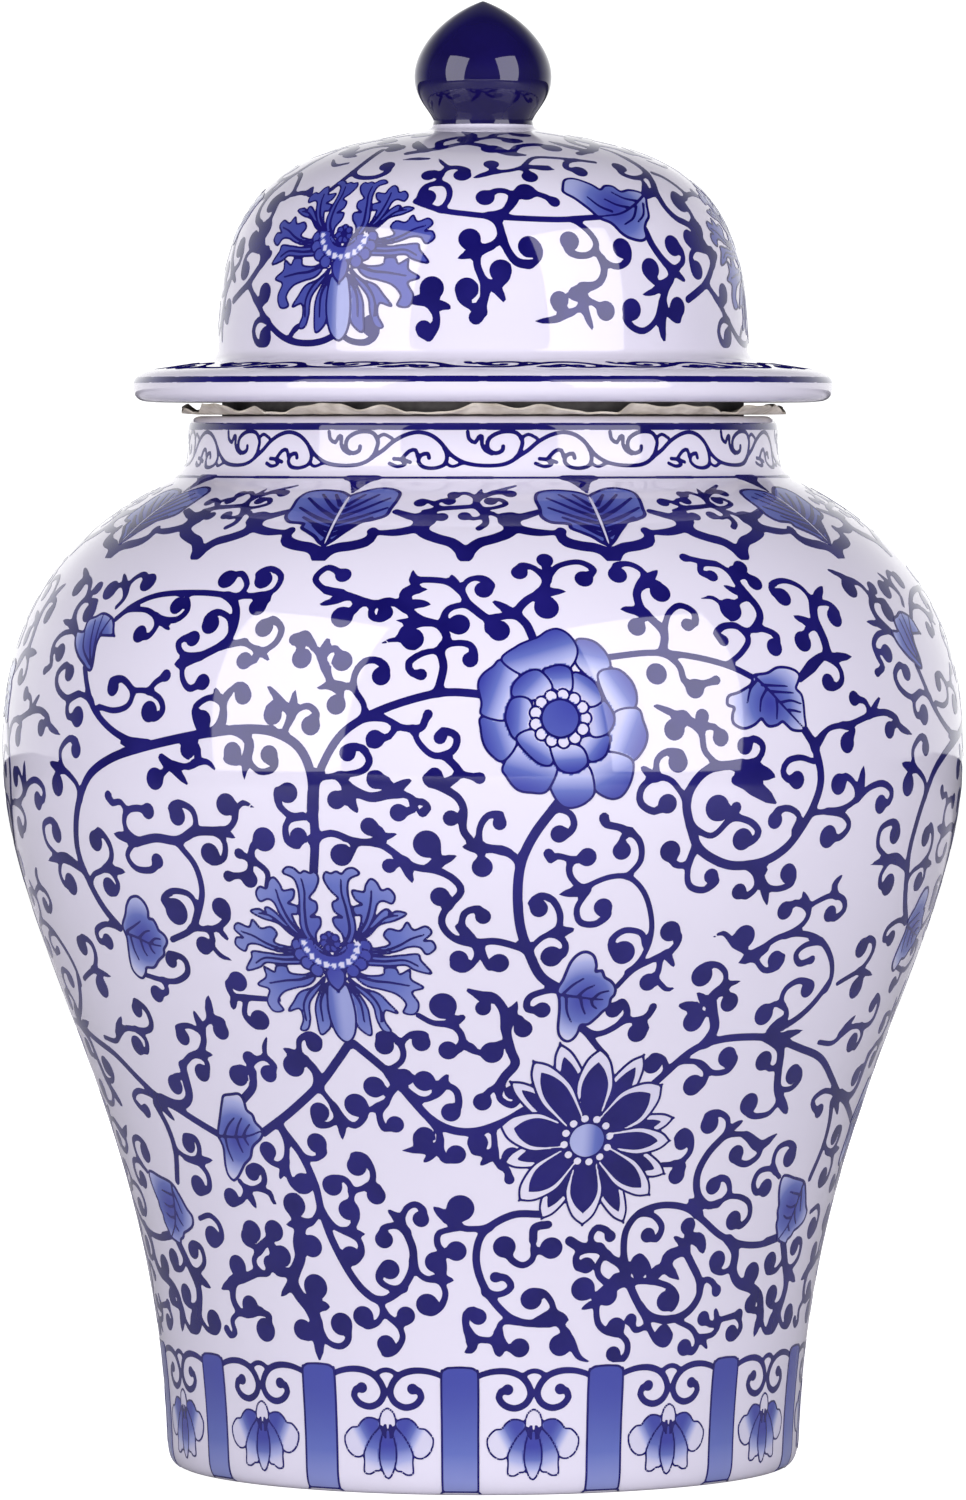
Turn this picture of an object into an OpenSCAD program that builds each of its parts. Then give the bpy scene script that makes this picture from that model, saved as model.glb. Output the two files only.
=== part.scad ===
// Covered ginger jar: a thrown body, a soft liner on its rim, and a domed lid
// with a locating ring under it and a bud knob on top.
// Millimetres, +Z up, origin at the centre of the foot, on the surface it stands on.

/* [Body] */
// Height of the body, from foot to top of lip
body_h = 252; // [240:1:264]
// Diameter at the belly
belly_d = 231; // [222:1:240]
// Height of the widest point of the belly
belly_z = 172; // [164:1:180]
// Diameter just above the rounded foot
foot_d = 152; // [146:1:158]
// Outer diameter of the neck
neck_d = 141.4; // [138:0.2:145]
// Height of the neck above the shoulder
neck_h = 15.6; // [14:0.2:18]
// Wall thickness of the body
body_wall = 5.6; // [4.8:0.1:6]
// Thickness of the body's floor above its foot
floor_t = 10; // [8:0.5:12]

/* [Foot] */
// Height of the rounding at the foot's outer edge
foot_round = 5.5; // [4:0.5:7]
// Width of the unglazed ring that the jar stands on
foot_ring_w = 9; // [7:0.5:11]
// Depth of the hollow inside the foot ring
foot_hollow = 4.5; // [3:0.5:5.5]

/* [Lid] */
// Diameter of the brim
brim_d = 168.4; // [164:0.2:172]
// Thickness of the brim at its rounded edge
brim_t = 8; // [7:0.5:9]
// Diameter of the dome
dome_d = 127.4; // [125:0.2:129]
// Height of the dome above the brim's underside
dome_h = 66.5; // [60:0.5:70]
// Wall thickness of the dome
dome_wall = 5; // [4:0.1:5.4]
// Depth of the locating ring below the brim
ring_h = 12; // [8:0.5:14]
// Wall thickness of the locating ring
ring_wall = 4; // [3:0.1:4.4]

/* [Knob] */
// Greatest diameter of the knob
knob_d = 33; // [30:0.5:36]
// Height of the knob
knob_h = 29.8; // [26:0.2:34]
// Diameter of the knob's stem, where it is luted to the lid
stem_d = 24.2; // [22:0.2:25]

/* [Liner] */
// Thickness of the room that the crumpled liner fills
liner_t = 2.7; // [2:0.1:3.5]
// Outer diameter of the liner
liner_d = 143; // [140:0.5:146]
// Clearance between the liner and the parts that it lies between
gap = 0.3; // [0.3:0.05:0.5]

/* [Hidden] */
$fn = 120;

// Points along each long curve, and along each short rounding
long_steps = 22;
short_steps = 7;

foot_r = foot_d / 2;
belly_r = belly_d / 2;
neck_r = neck_d / 2;
bore_r = neck_r - body_wall;
lip_r = body_wall / 2;
shoulder_z = body_h - neck_h;
brim_r = brim_d / 2;
dome_r = dome_d / 2;
dome_bore_r = dome_r - dome_wall;
ring_z = body_h + liner_t + 2 * gap;
dome_foot_z = ring_z + 0.19 * dome_h;
knob_z = ring_z + dome_h;
knob_r = knob_d / 2;
stem_r = stem_d / 2;

function bezier2(a, b, c, t) =
    a * (1 - t) ^ 2 + b * 2 * t * (1 - t) + c * t ^ 2;

function bezier3(a, b, c, d, t) =
    a * (1 - t) ^ 3 + b * 3 * t * (1 - t) ^ 2 + c * 3 * t ^ 2 * (1 - t) + d * t ^ 3;

// A rounding from a to c, without its first point
function rounding(a, b, c, steps = short_steps) =
    [for (i = [1 : steps]) bezier2(a, b, c, i / steps)];

// A long curve from a to d, without its first point
function sweep(a, b, c, d, steps = long_steps) =
    [for (i = [1 : steps]) bezier3(a, b, c, d, i / steps)];

// Where a wall's inner face lies behind point i of its outer face
function inner_point(points, i, wall) =
    let (last = len(points) - 1)
    let (along = points[min(i + 1, last)] - points[max(i - 1, 0)])
    points[i] + wall * [-along[1], along[0]] / norm(along);

function reversed(points) = [for (i = [len(points) - 1 : -1 : 0]) points[i]];

// Half of the body's outer face, from the foot to the start of the lip
function body_outer() =
    let (foot_edge = [foot_r - 2.6, 0])
    let (foot_top = [foot_r, foot_round])
    let (belly = [belly_r, belly_z])
    let (shoulder_end = [neck_r + 4.8, shoulder_z])
    let (neck_foot = [neck_r + 0.3, shoulder_z + 6])
    let (rise = shoulder_z - belly_z)
    concat(
        [foot_edge],
        rounding(foot_edge, [foot_r - 0.3, 0.6], foot_top),
        sweep(foot_top, [foot_r + 3, 0.51 * belly_z], [belly_r, 0.735 * belly_z], belly),
        sweep(belly, [belly_r, belly_z + 0.48 * rise],
              [neck_r + 0.71 * (belly_r - neck_r), shoulder_z - 0.21 * rise], shoulder_end),
        rounding(shoulder_end, [neck_r + 0.9, shoulder_z + 2.1], neck_foot),
        [[neck_r, body_h - lip_r]]
    );

module jar_body() {
    outer = body_outer();
    // The inner face starts above the floor and ends in the neck's bore
    first = short_steps + 5;
    last = len(outer) - 3;
    inner = [for (i = [first : last]) inner_point(outer, i, body_wall)];
    corner = [inner[0][0] - 1, floor_t];
    floor_edge = [inner[0][0] - 12, floor_t];
    lip = [for (i = [1 : 11]) [neck_r - lip_r, body_h - lip_r]
                              + lip_r * [cos(15 * i), sin(15 * i)]];
    foot_inner_r = foot_r - 2.6 - foot_ring_w;
    color("white")
        rotate_extrude()
            polygon(concat(
                outer,
                lip,
                [[bore_r, body_h - lip_r], [bore_r, shoulder_z + 6]],
                reversed(inner),
                rounding(inner[0], corner, floor_edge),
                [[0, floor_t], [0, foot_hollow], [foot_inner_r - 2, foot_hollow],
                 [foot_inner_r, 0]]
            ));
}

module rim_liner() {
    inner_r = dome_bore_r + ring_wall + gap;
    color("ivory")
        translate([0, 0, body_h + gap])
            rotate_extrude()
                translate([inner_r, 0])
                    square([liner_d / 2 - inner_r, liner_t]);
}

module lid_shell() {
    dome_foot = [dome_r, dome_foot_z];
    dome_top = [stem_r + 2.8, knob_z - 1.5];
    brim_root = [dome_r + 4.4, ring_z + brim_t + 1.6];
    brim_top = [brim_r - 5.6, ring_z + brim_t];
    brim_side = [brim_r, ring_z + 0.45 * brim_t];
    brim_under = [brim_r - 4, ring_z];
    dome_side_z = dome_foot_z + 0.76 * (knob_z - dome_foot_z);
    dome_crown_z = knob_z - 6.2;
    color("white")
        rotate_extrude()
            polygon(concat(
                [[dome_bore_r, ring_z], brim_under],
                rounding(brim_under, [brim_r, ring_z + 0.2], brim_side),
                rounding(brim_side, [brim_r - 0.2, ring_z + brim_t - 0.6], brim_top),
                [brim_root],
                rounding(brim_root, [dome_r + 0.2, ring_z + brim_t + 2.3], dome_foot),
                sweep(dome_foot, [dome_r, dome_side_z], [0.72 * dome_r, dome_crown_z], dome_top),
                rounding(dome_top, [stem_r + 0.5, knob_z - 1.2], [stem_r, knob_z]),
                [[0, knob_z], [0, knob_z - 1.5 - dome_wall]],
                reversed([for (i = [0 : long_steps - 1])
                    bezier3([dome_bore_r, dome_foot_z],
                            [dome_bore_r, dome_side_z - dome_wall],
                            [0.72 * dome_r - dome_wall, dome_crown_z - dome_wall],
                            [0, knob_z - 1.5 - dome_wall],
                            i / long_steps)])
            ));
}

module locating_ring() {
    mid_r = dome_bore_r + ring_wall / 2;
    edge = ring_wall / 2;
    color("ghostwhite")
        rotate_extrude()
            polygon(concat(
                [[dome_bore_r, ring_z]],
                [for (i = [0 : 12]) [mid_r, ring_z - ring_h + edge]
                                    + edge * [-cos(15 * i), -sin(15 * i)]],
                [[dome_bore_r + ring_wall, ring_z]]
            ));
}

module lid_knob() {
    stem = [stem_r - 0.2, knob_z + 0.9];
    side = [knob_r, knob_z + 0.39 * knob_h];
    tip = [0, knob_z + knob_h];
    color("midnightblue")
        rotate_extrude()
            polygon(concat(
                [[0, knob_z], [stem_r, knob_z], stem],
                sweep(stem, [stem_r + 0.5, knob_z + 3.6], [knob_r, knob_z + 6], side),
                sweep(side, [knob_r, knob_z + 0.63 * knob_h],
                      [0.55 * knob_r, knob_z + knob_h - 3], tip)
            ));
}

jar_body();
rim_liner();
lid_shell();
locating_ring();
lid_knob();
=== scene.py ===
import math

import bpy
import numpy as np
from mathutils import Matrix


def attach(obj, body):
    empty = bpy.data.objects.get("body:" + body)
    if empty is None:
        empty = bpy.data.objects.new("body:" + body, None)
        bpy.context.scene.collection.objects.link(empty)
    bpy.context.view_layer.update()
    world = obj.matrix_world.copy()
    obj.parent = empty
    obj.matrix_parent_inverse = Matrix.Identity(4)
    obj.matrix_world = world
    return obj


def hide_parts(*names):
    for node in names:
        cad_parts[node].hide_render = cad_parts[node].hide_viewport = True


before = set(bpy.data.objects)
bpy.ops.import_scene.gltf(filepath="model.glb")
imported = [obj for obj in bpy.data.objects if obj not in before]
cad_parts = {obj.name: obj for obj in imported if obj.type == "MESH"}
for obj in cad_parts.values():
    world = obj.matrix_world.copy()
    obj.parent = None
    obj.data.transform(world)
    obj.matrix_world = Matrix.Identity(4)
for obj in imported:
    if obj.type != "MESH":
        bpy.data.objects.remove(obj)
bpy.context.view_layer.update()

# Sizes are in millimetres until a mesh is made, and angles in degrees round the jar,
# 0 at the front (-Y) and growing to the right (+X).
MM = 0.001
TURN = 360

# ---------------------------------------------------------------- outlines

def curve(points, steps):
    """A Bezier curve through the first and last of 2 to 4 control points, first point left out."""
    t = np.linspace(0, 1, steps + 1)[1:, None]
    layer = [np.array(p, float) for p in points]
    while len(layer) > 1:
        layer = [a * (1 - t) + b * t for a, b in zip(layer, layer[1:])]
    return layer[0]


def outline(start, *parts):
    """A run of curves from start. Each part is (steps, control points after the last one)."""
    points = np.array([start], float)
    for steps, *controls in parts:
        points = np.vstack((points, curve([points[-1], *controls], steps)))
    return points


FOOT_R, BELLY_R, NECK_R = 76, 115.5, 70.7
BELLY_Z, SHOULDER_Z, BODY_TOP = 172, 236.4, 252
RISE = SHOULDER_Z - BELLY_Z
WALL = 5.6
LIP_R = WALL / 2
body_outline = outline(
    (FOOT_R - 2.6, 0),
    (8, (FOOT_R - 0.3, 0.6), (FOOT_R, 5.5)),
    (60, (FOOT_R + 3, 0.51 * BELLY_Z), (BELLY_R, 0.735 * BELLY_Z), (BELLY_R, BELLY_Z)),
    (44, (BELLY_R, BELLY_Z + 0.48 * RISE),
     (NECK_R + 0.71 * (BELLY_R - NECK_R), SHOULDER_Z - 0.21 * RISE), (NECK_R + 4.8, SHOULDER_Z)),
    (10, (NECK_R + 0.9, SHOULDER_Z + 2.1), (NECK_R + 0.3, SHOULDER_Z + 6)),
    (4, (NECK_R, BODY_TOP - LIP_R)),
)

BRIM_Z = 255.3
BRIM_R, DOME_R, DOME_BORE_R, STEM_R, KNOB_R = 84.2, 63.7, 58.7, 12.1, 16.5
DOME_FOOT_Z, KNOB_Z, TIP_Z = 267.9, 321.8, 351.6
brim_outline = outline(
    (BRIM_R - 4, BRIM_Z),
    (8, (BRIM_R, BRIM_Z + 0.2), (BRIM_R, BRIM_Z + 3.6)),
    (10, (BRIM_R - 0.2, BRIM_Z + 7.4), (BRIM_R - 5.6, BRIM_Z + 8)),
    (8, (DOME_R + 4.4, BRIM_Z + 9.6)),
)
DOME_SIDE_Z = DOME_FOOT_Z + 0.76 * (KNOB_Z - DOME_FOOT_Z)
dome_outline = outline(
    brim_outline[-1],
    (8, (DOME_R + 0.2, BRIM_Z + 10.3), (DOME_R, DOME_FOOT_Z)),
    (60, (DOME_R, DOME_SIDE_Z), (0.72 * DOME_R, KNOB_Z - 6.2), (STEM_R + 2.8, KNOB_Z - 1.5)),
    (6, (STEM_R + 0.5, KNOB_Z - 1.2), (STEM_R, KNOB_Z)),
)
knob_outline = outline(
    (STEM_R - 0.2, KNOB_Z + 0.9),
    (24, (STEM_R + 0.5, KNOB_Z + 3.6), (KNOB_R, KNOB_Z + 6), (KNOB_R, KNOB_Z + 11.6)),
    (36, (KNOB_R, KNOB_Z + 18.8), (0.55 * KNOB_R, TIP_Z - 3), (0, TIP_Z)),
)


# ---------------------------------------------------------------- meshes

def new_piece(name, verts, faces, material, body, slot, sharp):
    """A smooth mesh that rides on a body; edges over sharp degrees stay sharp."""
    mesh = bpy.data.meshes.new(name)
    mesh.from_pydata(verts, [], faces)
    mesh.materials.append(material)
    mesh.polygons.foreach_set("use_smooth", [True] * len(mesh.polygons))
    if sharp:
        mesh.set_sharp_from_angle(angle=math.radians(sharp))
    piece = bpy.data.objects.new(name, mesh)
    bpy.context.scene.collection.objects.link(piece)
    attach(piece, body)
    return piece


def lathe(profile, segments=288):
    """Vertices and faces of a closed outline turned round the axis, anticlockwise in (r, z)."""
    angles = np.radians(np.arange(segments) * TURN / segments)
    verts, rings = [], []
    for r, z in profile:
        first = len(verts)
        if r < 1e-6:
            verts.append((0, 0, z * MM))
            rings.append([first] * segments)
            continue
        verts += [(r * MM * math.sin(a), -r * MM * math.cos(a), z * MM) for a in angles]
        rings.append(list(range(first, first + segments)))
    faces = []
    for low, high in zip(rings, rings[1:] + rings[:1]):
        for i in range(segments):
            j = (i + 1) % segments
            face = list(dict.fromkeys((low[i], low[j], high[j], high[i])))
            if len(face) > 2:
                faces.append(face)
    return verts, faces


# ---------------------------------------------------------------- painting

# How far the painting stands proud of the glaze, and how tall its edges are, which end in the glaze
STROKE_LIFT, WASH_LIFT, LINE_LIFT = 0.05, 0.09, 0.13
EDGE_DEPTH = 0.15
# The size of a map's cells, for the vines and for the finer motifs
VINE_CELL, MOTIF_CELL = 0.7, 0.4


def pairs(numbers):
    """Numbers in a row as pairs."""
    return np.reshape(np.array(numbers, float), (-1, 2))


class Skin:
    """A glazed surface of revolution, laid out flat so that small shapes keep their form."""

    def __init__(self, profile, full_size_r, by_distance=False):
        self.r, self.z = profile.T
        self.full = full_size_r
        step = np.hypot(np.diff(self.r), np.diff(self.z))
        self.height = np.concatenate(([0], np.cumsum(step))) if by_distance else self.z
        middle = (self.r[1:] + self.r[:-1]) / 2
        self.up = np.concatenate(([0], np.cumsum(step * self.full / middle)))
        along = np.gradient(profile, self.up, axis=0)
        self.out = np.column_stack((along[:, 1], -along[:, 0]))
        self.out /= np.linalg.norm(self.out, axis=1)[:, None]

    def flat(self, spots):
        """(angle, height) pairs as points of the drawing; a brim's height is its distance in."""
        spots = pairs(spots)
        across = np.radians(spots[:, 0]) * self.full
        return np.column_stack((across, np.interp(spots[:, 1], self.height, self.up)))

    def scale(self, up):
        """How many millimetres of the drawing one millimetre of the surface takes."""
        return self.full / np.interp(up, self.up, self.r)

    def place(self, flat, lift):
        """Points of the drawing on the surface, in metres, and the surface's normals there."""
        angle = flat[:, 0] / self.full
        turned = [np.interp(flat[:, 1], self.up, column) for column in (self.r, self.z, *self.out.T)]
        r, z, out_r, out_z = turned
        normal = np.column_stack((out_r * np.sin(angle), -out_r * np.cos(angle), out_z))
        spot = np.column_stack((r * np.sin(angle), -r * np.cos(angle), z))
        return (spot + normal * lift) * MM, normal


def spline(points, spacing):
    """A Catmull-Rom curve through the points, from the second to the last but one."""
    line = [points[1:2]]
    for a, b, c, d in zip(points, points[1:], points[2:], points[3:]):
        steps = max(2, int(np.linalg.norm(c - b) / spacing))
        t = np.linspace(0, 1, steps + 1)[1:, None]
        line.append(0.5 * (2 * b + (c - a) * t + (2 * a - 5 * b + 4 * c - d) * t ** 2
                           + (3 * b - a - 3 * c + d) * t ** 3))
    return np.vstack(line)


def smooth_line(points, spacing):
    """A smooth curve through the points, and how far along it each of its own points is."""
    ends = (2 * points[0] - points[1], 2 * points[-1] - points[-2])
    line = spline(np.vstack((ends[0], points, ends[1])), spacing)
    steps = np.hypot(*np.diff(line, axis=0).T)
    return line, np.concatenate(([0], np.cumsum(steps)))


def melt(a, b, soft):
    """The union of two distance maps, with a fillet where they meet."""
    mix = np.clip(0.5 + 0.5 * (b - a) / soft, 0, 1)
    return b * (1 - mix) + a * mix - soft * mix * (1 - mix)


# Which corners and crossings of a grid cell its painted part joins, by which corners are
# painted (1, 2, 4 and 8 for a, b, c and d, anticlockwise). ab is the crossing between a and b.
CELL_SHAPES = {
    1: ["a ab da"], 2: ["b bc ab"], 3: ["a b bc da"], 4: ["c cd bc"], 5: ["a ab da", "c cd bc"],
    6: ["b c cd ab"], 7: ["a b c cd da"], 8: ["d da cd"], 9: ["a ab cd d"],
    10: ["b bc ab", "d da cd"], 11: ["a b bc cd d"], 12: ["c d da bc"], 13: ["a ab bc c d"],
    14: ["b c d da ab"], 15: ["a b c d"],
}
FAR = 9.0


class Paint:
    """A map of how far each spot of a drawing is from the paint, negative inside it."""

    def __init__(self, skin, low, high, cell, copies=1, ring=False):
        (x0, y0), (x1, y1) = low, high
        self.skin, self.copies, self.ring = skin, copies, ring
        self.period = math.radians(TURN / copies) * skin.full
        self.x = np.linspace(x0, x1, int((x1 - x0) / cell) + 2)
        self.y = np.linspace(y0, y1, int((y1 - y0) / cell) + 2)
        self.far = np.full((len(self.y), len(self.x)), FAR)

    def window(self, low, high):
        """The part of the grid between two corners of the drawing."""
        columns = slice(*np.searchsorted(self.x, (low[0], high[0])))
        rows = slice(*np.searchsorted(self.y, (low[1], high[1])))
        return rows, columns

    def stroke(self, points, widths, soft=1.0):
        """A brush stroke through (angle, height) points. widths are [(share of length, mm), ...]."""
        line, gone = smooth_line(self.skin.flat(points), 0.9)
        scale = self.skin.scale(line[:, 1])
        half = np.interp(gone / gone[-1], *np.array(widths).T) / 2
        shifts = (-self.period, 0, self.period) if self.ring else (0,)
        for shift in shifts:
            self.sweep(line + (shift, 0), half, scale, soft)

    def sweep(self, line, half, scale, soft):
        """Melts a stroke into the map, piece by piece, only where it reaches."""
        reach = (half.max() + 2.5) * scale.max()
        rows, columns = self.window(line.min(axis=0) - reach, line.max(axis=0) + reach)
        if rows.start >= rows.stop or columns.start >= columns.stop:
            return
        new = np.full_like(self.far[rows, columns], FAR)
        x, y = self.x[columns], self.y[rows]
        for i in range(len(line) - 1):
            (ax, ay), (bx, by) = line[i], line[i + 1]
            nearby = slice(*np.searchsorted(x, (min(ax, bx) - reach, max(ax, bx) + reach)))
            level = slice(*np.searchsorted(y, (min(ay, by) - reach, max(ay, by) + reach)))
            px, py = x[None, nearby] - ax, y[level, None] - ay
            dx, dy = bx - ax, by - ay
            t = np.clip((px * dx + py * dy) / (dx * dx + dy * dy + 1e-9), 0, 1)
            away = np.hypot(px - t * dx, py - t * dy) / scale[i]
            away = away - half[i] * (1 - t) - half[i + 1] * t
            new[level, nearby] = np.minimum(new[level, nearby], away)
        self.far[rows, columns] = melt(self.far[rows, columns], new, soft)

    def spot(self, at, size):
        """A round dab of paint."""
        self.stroke([at, (at[0] + 0.02, at[1])], [(0, size), (1, size)], 0.6)

    def bud(self, head, *points, stem=1.3):
        """A tendril whose last point is the middle of its round bud."""
        self.stroke(points, [(0, stem), (0.6, stem * 1.25), (1, stem * 1.4)])
        self.spot(points[-1], 2.3 * head)

    def leaf(self, width, *points):
        """A stroke that swells and ends in a point."""
        self.stroke(points, [(0, 0.6 * width), (0.4, width), (0.75, 0.7 * width), (1, 0.2)])

    def trace(self):
        """The painted part's points in the drawing, its faces, and the pairs on its edges."""
        far = self.far
        inside = far < 0
        tall, wide = far.shape
        grid_x, grid_y = np.meshgrid(self.x, self.y)
        spots = [np.column_stack((grid_x[inside], grid_y[inside]))]
        number = np.full(far.shape, -1)
        number[inside] = np.arange(inside.sum())
        count = int(inside.sum())

        def crossings(a, b):
            """Numbers for where the paint's edge crosses between two neighbours."""
            nonlocal count
            crossed = inside[a] != inside[b]
            share = np.clip(far[a][crossed] / (far[a][crossed] - far[b][crossed]), 0.04, 0.96)
            x = grid_x[a][crossed] + share * (grid_x[b][crossed] - grid_x[a][crossed])
            y = grid_y[a][crossed] + share * (grid_y[b][crossed] - grid_y[a][crossed])
            spots.append(np.column_stack((x, y)))
            found = np.full(crossed.shape, -1)
            found[crossed] = count + np.arange(crossed.sum())
            count += int(crossed.sum())
            return found

        every = slice(None)
        level = crossings((every, slice(0, wide - 1)), (every, slice(1, wide)))
        upright = crossings((slice(0, tall - 1), every), (slice(1, tall), every))
        refs = {
            "a": number[:-1, :-1], "b": number[:-1, 1:], "c": number[1:, 1:], "d": number[1:, :-1],
            "ab": level[:-1], "bc": upright[:, 1:], "cd": level[1:], "da": upright[:, :-1],
        }
        corners = [inside[:-1, :-1], inside[:-1, 1:], inside[1:, 1:], inside[1:, :-1]]
        kind = sum(corner.astype(int) << i for i, corner in enumerate(corners))
        faces, rims = [], []
        for code, shapes in CELL_SHAPES.items():
            cells = kind == code
            for shape in shapes:
                names = shape.split()
                columns = np.column_stack([refs[n][cells] for n in names])
                faces += columns.tolist()
                for i, n in enumerate(names):
                    after = names[(i + 1) % len(names)]
                    if len(n) == 2 and len(after) == 2:
                        rims.append(columns[:, [i, (i + 1) % len(names)]])
        return np.vstack(spots), faces, np.vstack(rims)

    def piece(self, name, material, lift, body, slot, wash=None):
        """The painted part as a thin raised mesh, repeated round the axis."""
        flat, faces, rims = self.trace()
        count = len(flat)
        edge = np.unique(rims)
        low = np.full(count, -1)
        low[edge] = count + np.arange(len(edge))
        walls = np.column_stack((rims[:, 1], rims[:, 0], low[rims[:, 0]], low[rims[:, 1]]))
        top_faces = len(faces)
        faces += walls.tolist()
        flat_all = np.vstack((flat, flat[edge]))
        lifts = np.concatenate((np.full(count, lift), np.full(len(edge), lift - EDGE_DEPTH)))
        verts, normals, all_faces = [], [], []
        for copy in range(self.copies):
            placed, normal = self.skin.place(flat_all + (copy * self.period, 0), lifts[:, None])
            base = copy * len(flat_all)
            verts.append(placed)
            normals.append(normal)
            all_faces += [[v + base for v in face] for face in faces]
        verts, normals = np.vstack(verts), np.vstack(normals)
        mesh = new_piece(name, verts.tolist(), all_faces, material, body, slot, sharp=0).data
        corner_vertex = np.zeros(len(mesh.loops), int)
        mesh.loops.foreach_get("vertex_index", corner_vertex)
        totals = np.array([len(face) for face in faces] * self.copies)
        is_top = np.tile(np.arange(len(faces)) < top_faces, self.copies)
        on_top = np.repeat(is_top, totals)
        wanted = np.where(on_top[:, None], normals[corner_vertex], 0.0)
        mesh.polygons.foreach_set("use_smooth", is_top)
        mesh.normals_split_custom_set(wanted.tolist())
        if wash is not None:
            value = self.sample(wash, flat_all)
            colour = np.ones((len(verts), 4))
            colour[:, :3] = np.tile(value, self.copies)[:, None]
            layer = mesh.color_attributes.new("wash", "FLOAT_COLOR", "POINT")
            layer.data.foreach_set("color", colour.ravel())

    def brushed(self, name, body, material=None):
        """The painted part in full cobalt."""
        self.piece(name, material or cobalt, STROKE_LIFT, body, "cobalt_glaze")

    def sample(self, grid, flat):
        """Values of a grid at points of the drawing."""
        column = np.clip(np.interp(flat[:, 0], self.x, np.arange(len(self.x))), 0, len(self.x) - 1.001)
        row = np.clip(np.interp(flat[:, 1], self.y, np.arange(len(self.y))), 0, len(self.y) - 1.001)
        i, j = row.astype(int), column.astype(int)
        s, t = row - i, column - j
        lower = grid[i, j] * (1 - t) + grid[i, j + 1] * t
        upper = grid[i + 1, j] * (1 - t) + grid[i + 1, j + 1] * t
        return lower * (1 - s) + upper * s


def closed(*numbers):
    """A smooth closed curve through x, y, x, y...; a point given twice is a sharp corner."""
    points = pairs(numbers)
    return spline(np.vstack((points[-1:], points, points[:2])), 0.4)


def loop_distance(line, x, y):
    """How far each spot of a grid is from a closed line, negative inside it."""
    away = np.full(x.shape, FAR)
    inside = np.zeros(x.shape, bool)
    for (ax, ay), (bx, by) in zip(line, line[1:]):
        dx, dy = bx - ax, by - ay
        t = np.clip(((x - ax) * dx + (y - ay) * dy) / (dx * dx + dy * dy + 1e-12), 0, 1)
        away = np.minimum(away, np.hypot(x - ax - t * dx, y - ay - t * dy))
        if dy:
            inside ^= ((ay > y) != (by > y)) & (x < ax + (y - ay) * dx / dy)
    return np.where(inside, -away, away)


class Motif:
    """A flower or leaf round its own middle: washed shapes with dark lines, back to front."""

    def __init__(self, skin, angle, height, left, right, low, high, cell=MOTIF_CELL, copies=1, grow=1):
        centre = skin.flat([(angle, height)])[0]
        self.angle, self.centre = angle, centre
        self.scale = skin.scale(centre[1]) * grow
        corners = [centre + np.array(c) * self.scale for c in ((left, low), (right, high))]
        self.fill = Paint(skin, *corners, cell * self.scale, copies)
        self.line = Paint(skin, *corners, cell * self.scale, copies)
        self.wash = np.zeros_like(self.fill.far)
        self.x = np.broadcast_to((self.fill.x - centre[0]) / self.scale, self.wash.shape)
        self.y = np.broadcast_to((self.fill.y[:, None] - centre[1]) / self.scale, self.wash.shape)

    def local(self, numbers):
        """Angles from the motif's own, and heights, as the motif's x and y."""
        spots = pairs(numbers) + (self.angle, 0)
        return ((self.fill.skin.flat(spots) - self.centre) / self.scale).ravel()

    def around(self, numbers):
        """The distance map of a closed shape, worked out only where it matters."""
        line = closed(*numbers)
        low, high = line.min(axis=0) - 1.5, line.max(axis=0) + 1.5
        rows = slice(*np.searchsorted(self.y[:, 0], (low[1], high[1])))
        columns = slice(*np.searchsorted(self.x[0], (low[0], high[0])))
        here = np.full(self.wash.shape, FAR)
        here[rows, columns] = loop_distance(line, self.x[rows, columns], self.y[rows, columns])
        return here

    def shape(self, numbers, dark, pale=None, reach=None, tones=(0.0, 0.8), line=0.55):
        """A washed shape, from the first tone at dark to the last at pale, or reach mm away."""
        away = self.around(numbers)
        from_dark = (self.x - dark[0], self.y - dark[1])
        if pale:
            way = np.subtract(pale, dark)
            share = (from_dark[0] * way[0] + from_dark[1] * way[1]) / (way @ way)
        else:
            share = np.hypot(*from_dark) / reach
        share = np.clip(share, 0, 1)
        share = share * share * (3 - 2 * share)
        tone = tones[0] + (tones[1] - tones[0]) * share
        self.wash = np.where(away < 0.3, tone, self.wash)
        self.fill.far = np.minimum(self.fill.far, away)
        self.line.far = np.maximum(self.line.far, -away)
        if line:
            self.line.far = np.minimum(self.line.far, np.abs(away) - line / 2)

    def solid(self, numbers):
        """A shape in full cobalt."""
        away = self.around(numbers)
        self.fill.far = np.minimum(self.fill.far, away)
        self.line.far = np.minimum(self.line.far, away)

    def vein(self, numbers, width):
        """A fine dark line that thins to its end."""
        line, gone = smooth_line(pairs(numbers), 0.5)
        half = width / 2 * (1 - 0.45 * gone / gone[-1])
        for i in range(len(line) - 1):
            (ax, ay), (dx, dy) = line[i], line[i + 1] - line[i]
            t = np.clip(((self.x - ax) * dx + (self.y - ay) * dy) / (dx * dx + dy * dy + 1e-12), 0, 1)
            away = np.hypot(self.x - ax - t * dx, self.y - ay - t * dy) - half[i]
            self.line.far = np.minimum(self.line.far, away)

    def piece(self, name, body):
        """The motif as a washed piece and a piece of dark lines over it."""
        self.fill.piece(name + "_wash", blue_wash, WASH_LIFT, body, "blue_wash", wash=self.wash)
        self.line.piece(name + "_lines", cobalt, LINE_LIFT, body, "cobalt_glaze")


def disc(x, y, r):
    """The points of a circle, for a motif's closed shapes."""
    spots = [(x + r * math.cos(a), y + r * math.sin(a)) for a in np.radians(range(0, TURN, 45))]
    return [n for spot in spots for n in spot]


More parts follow.
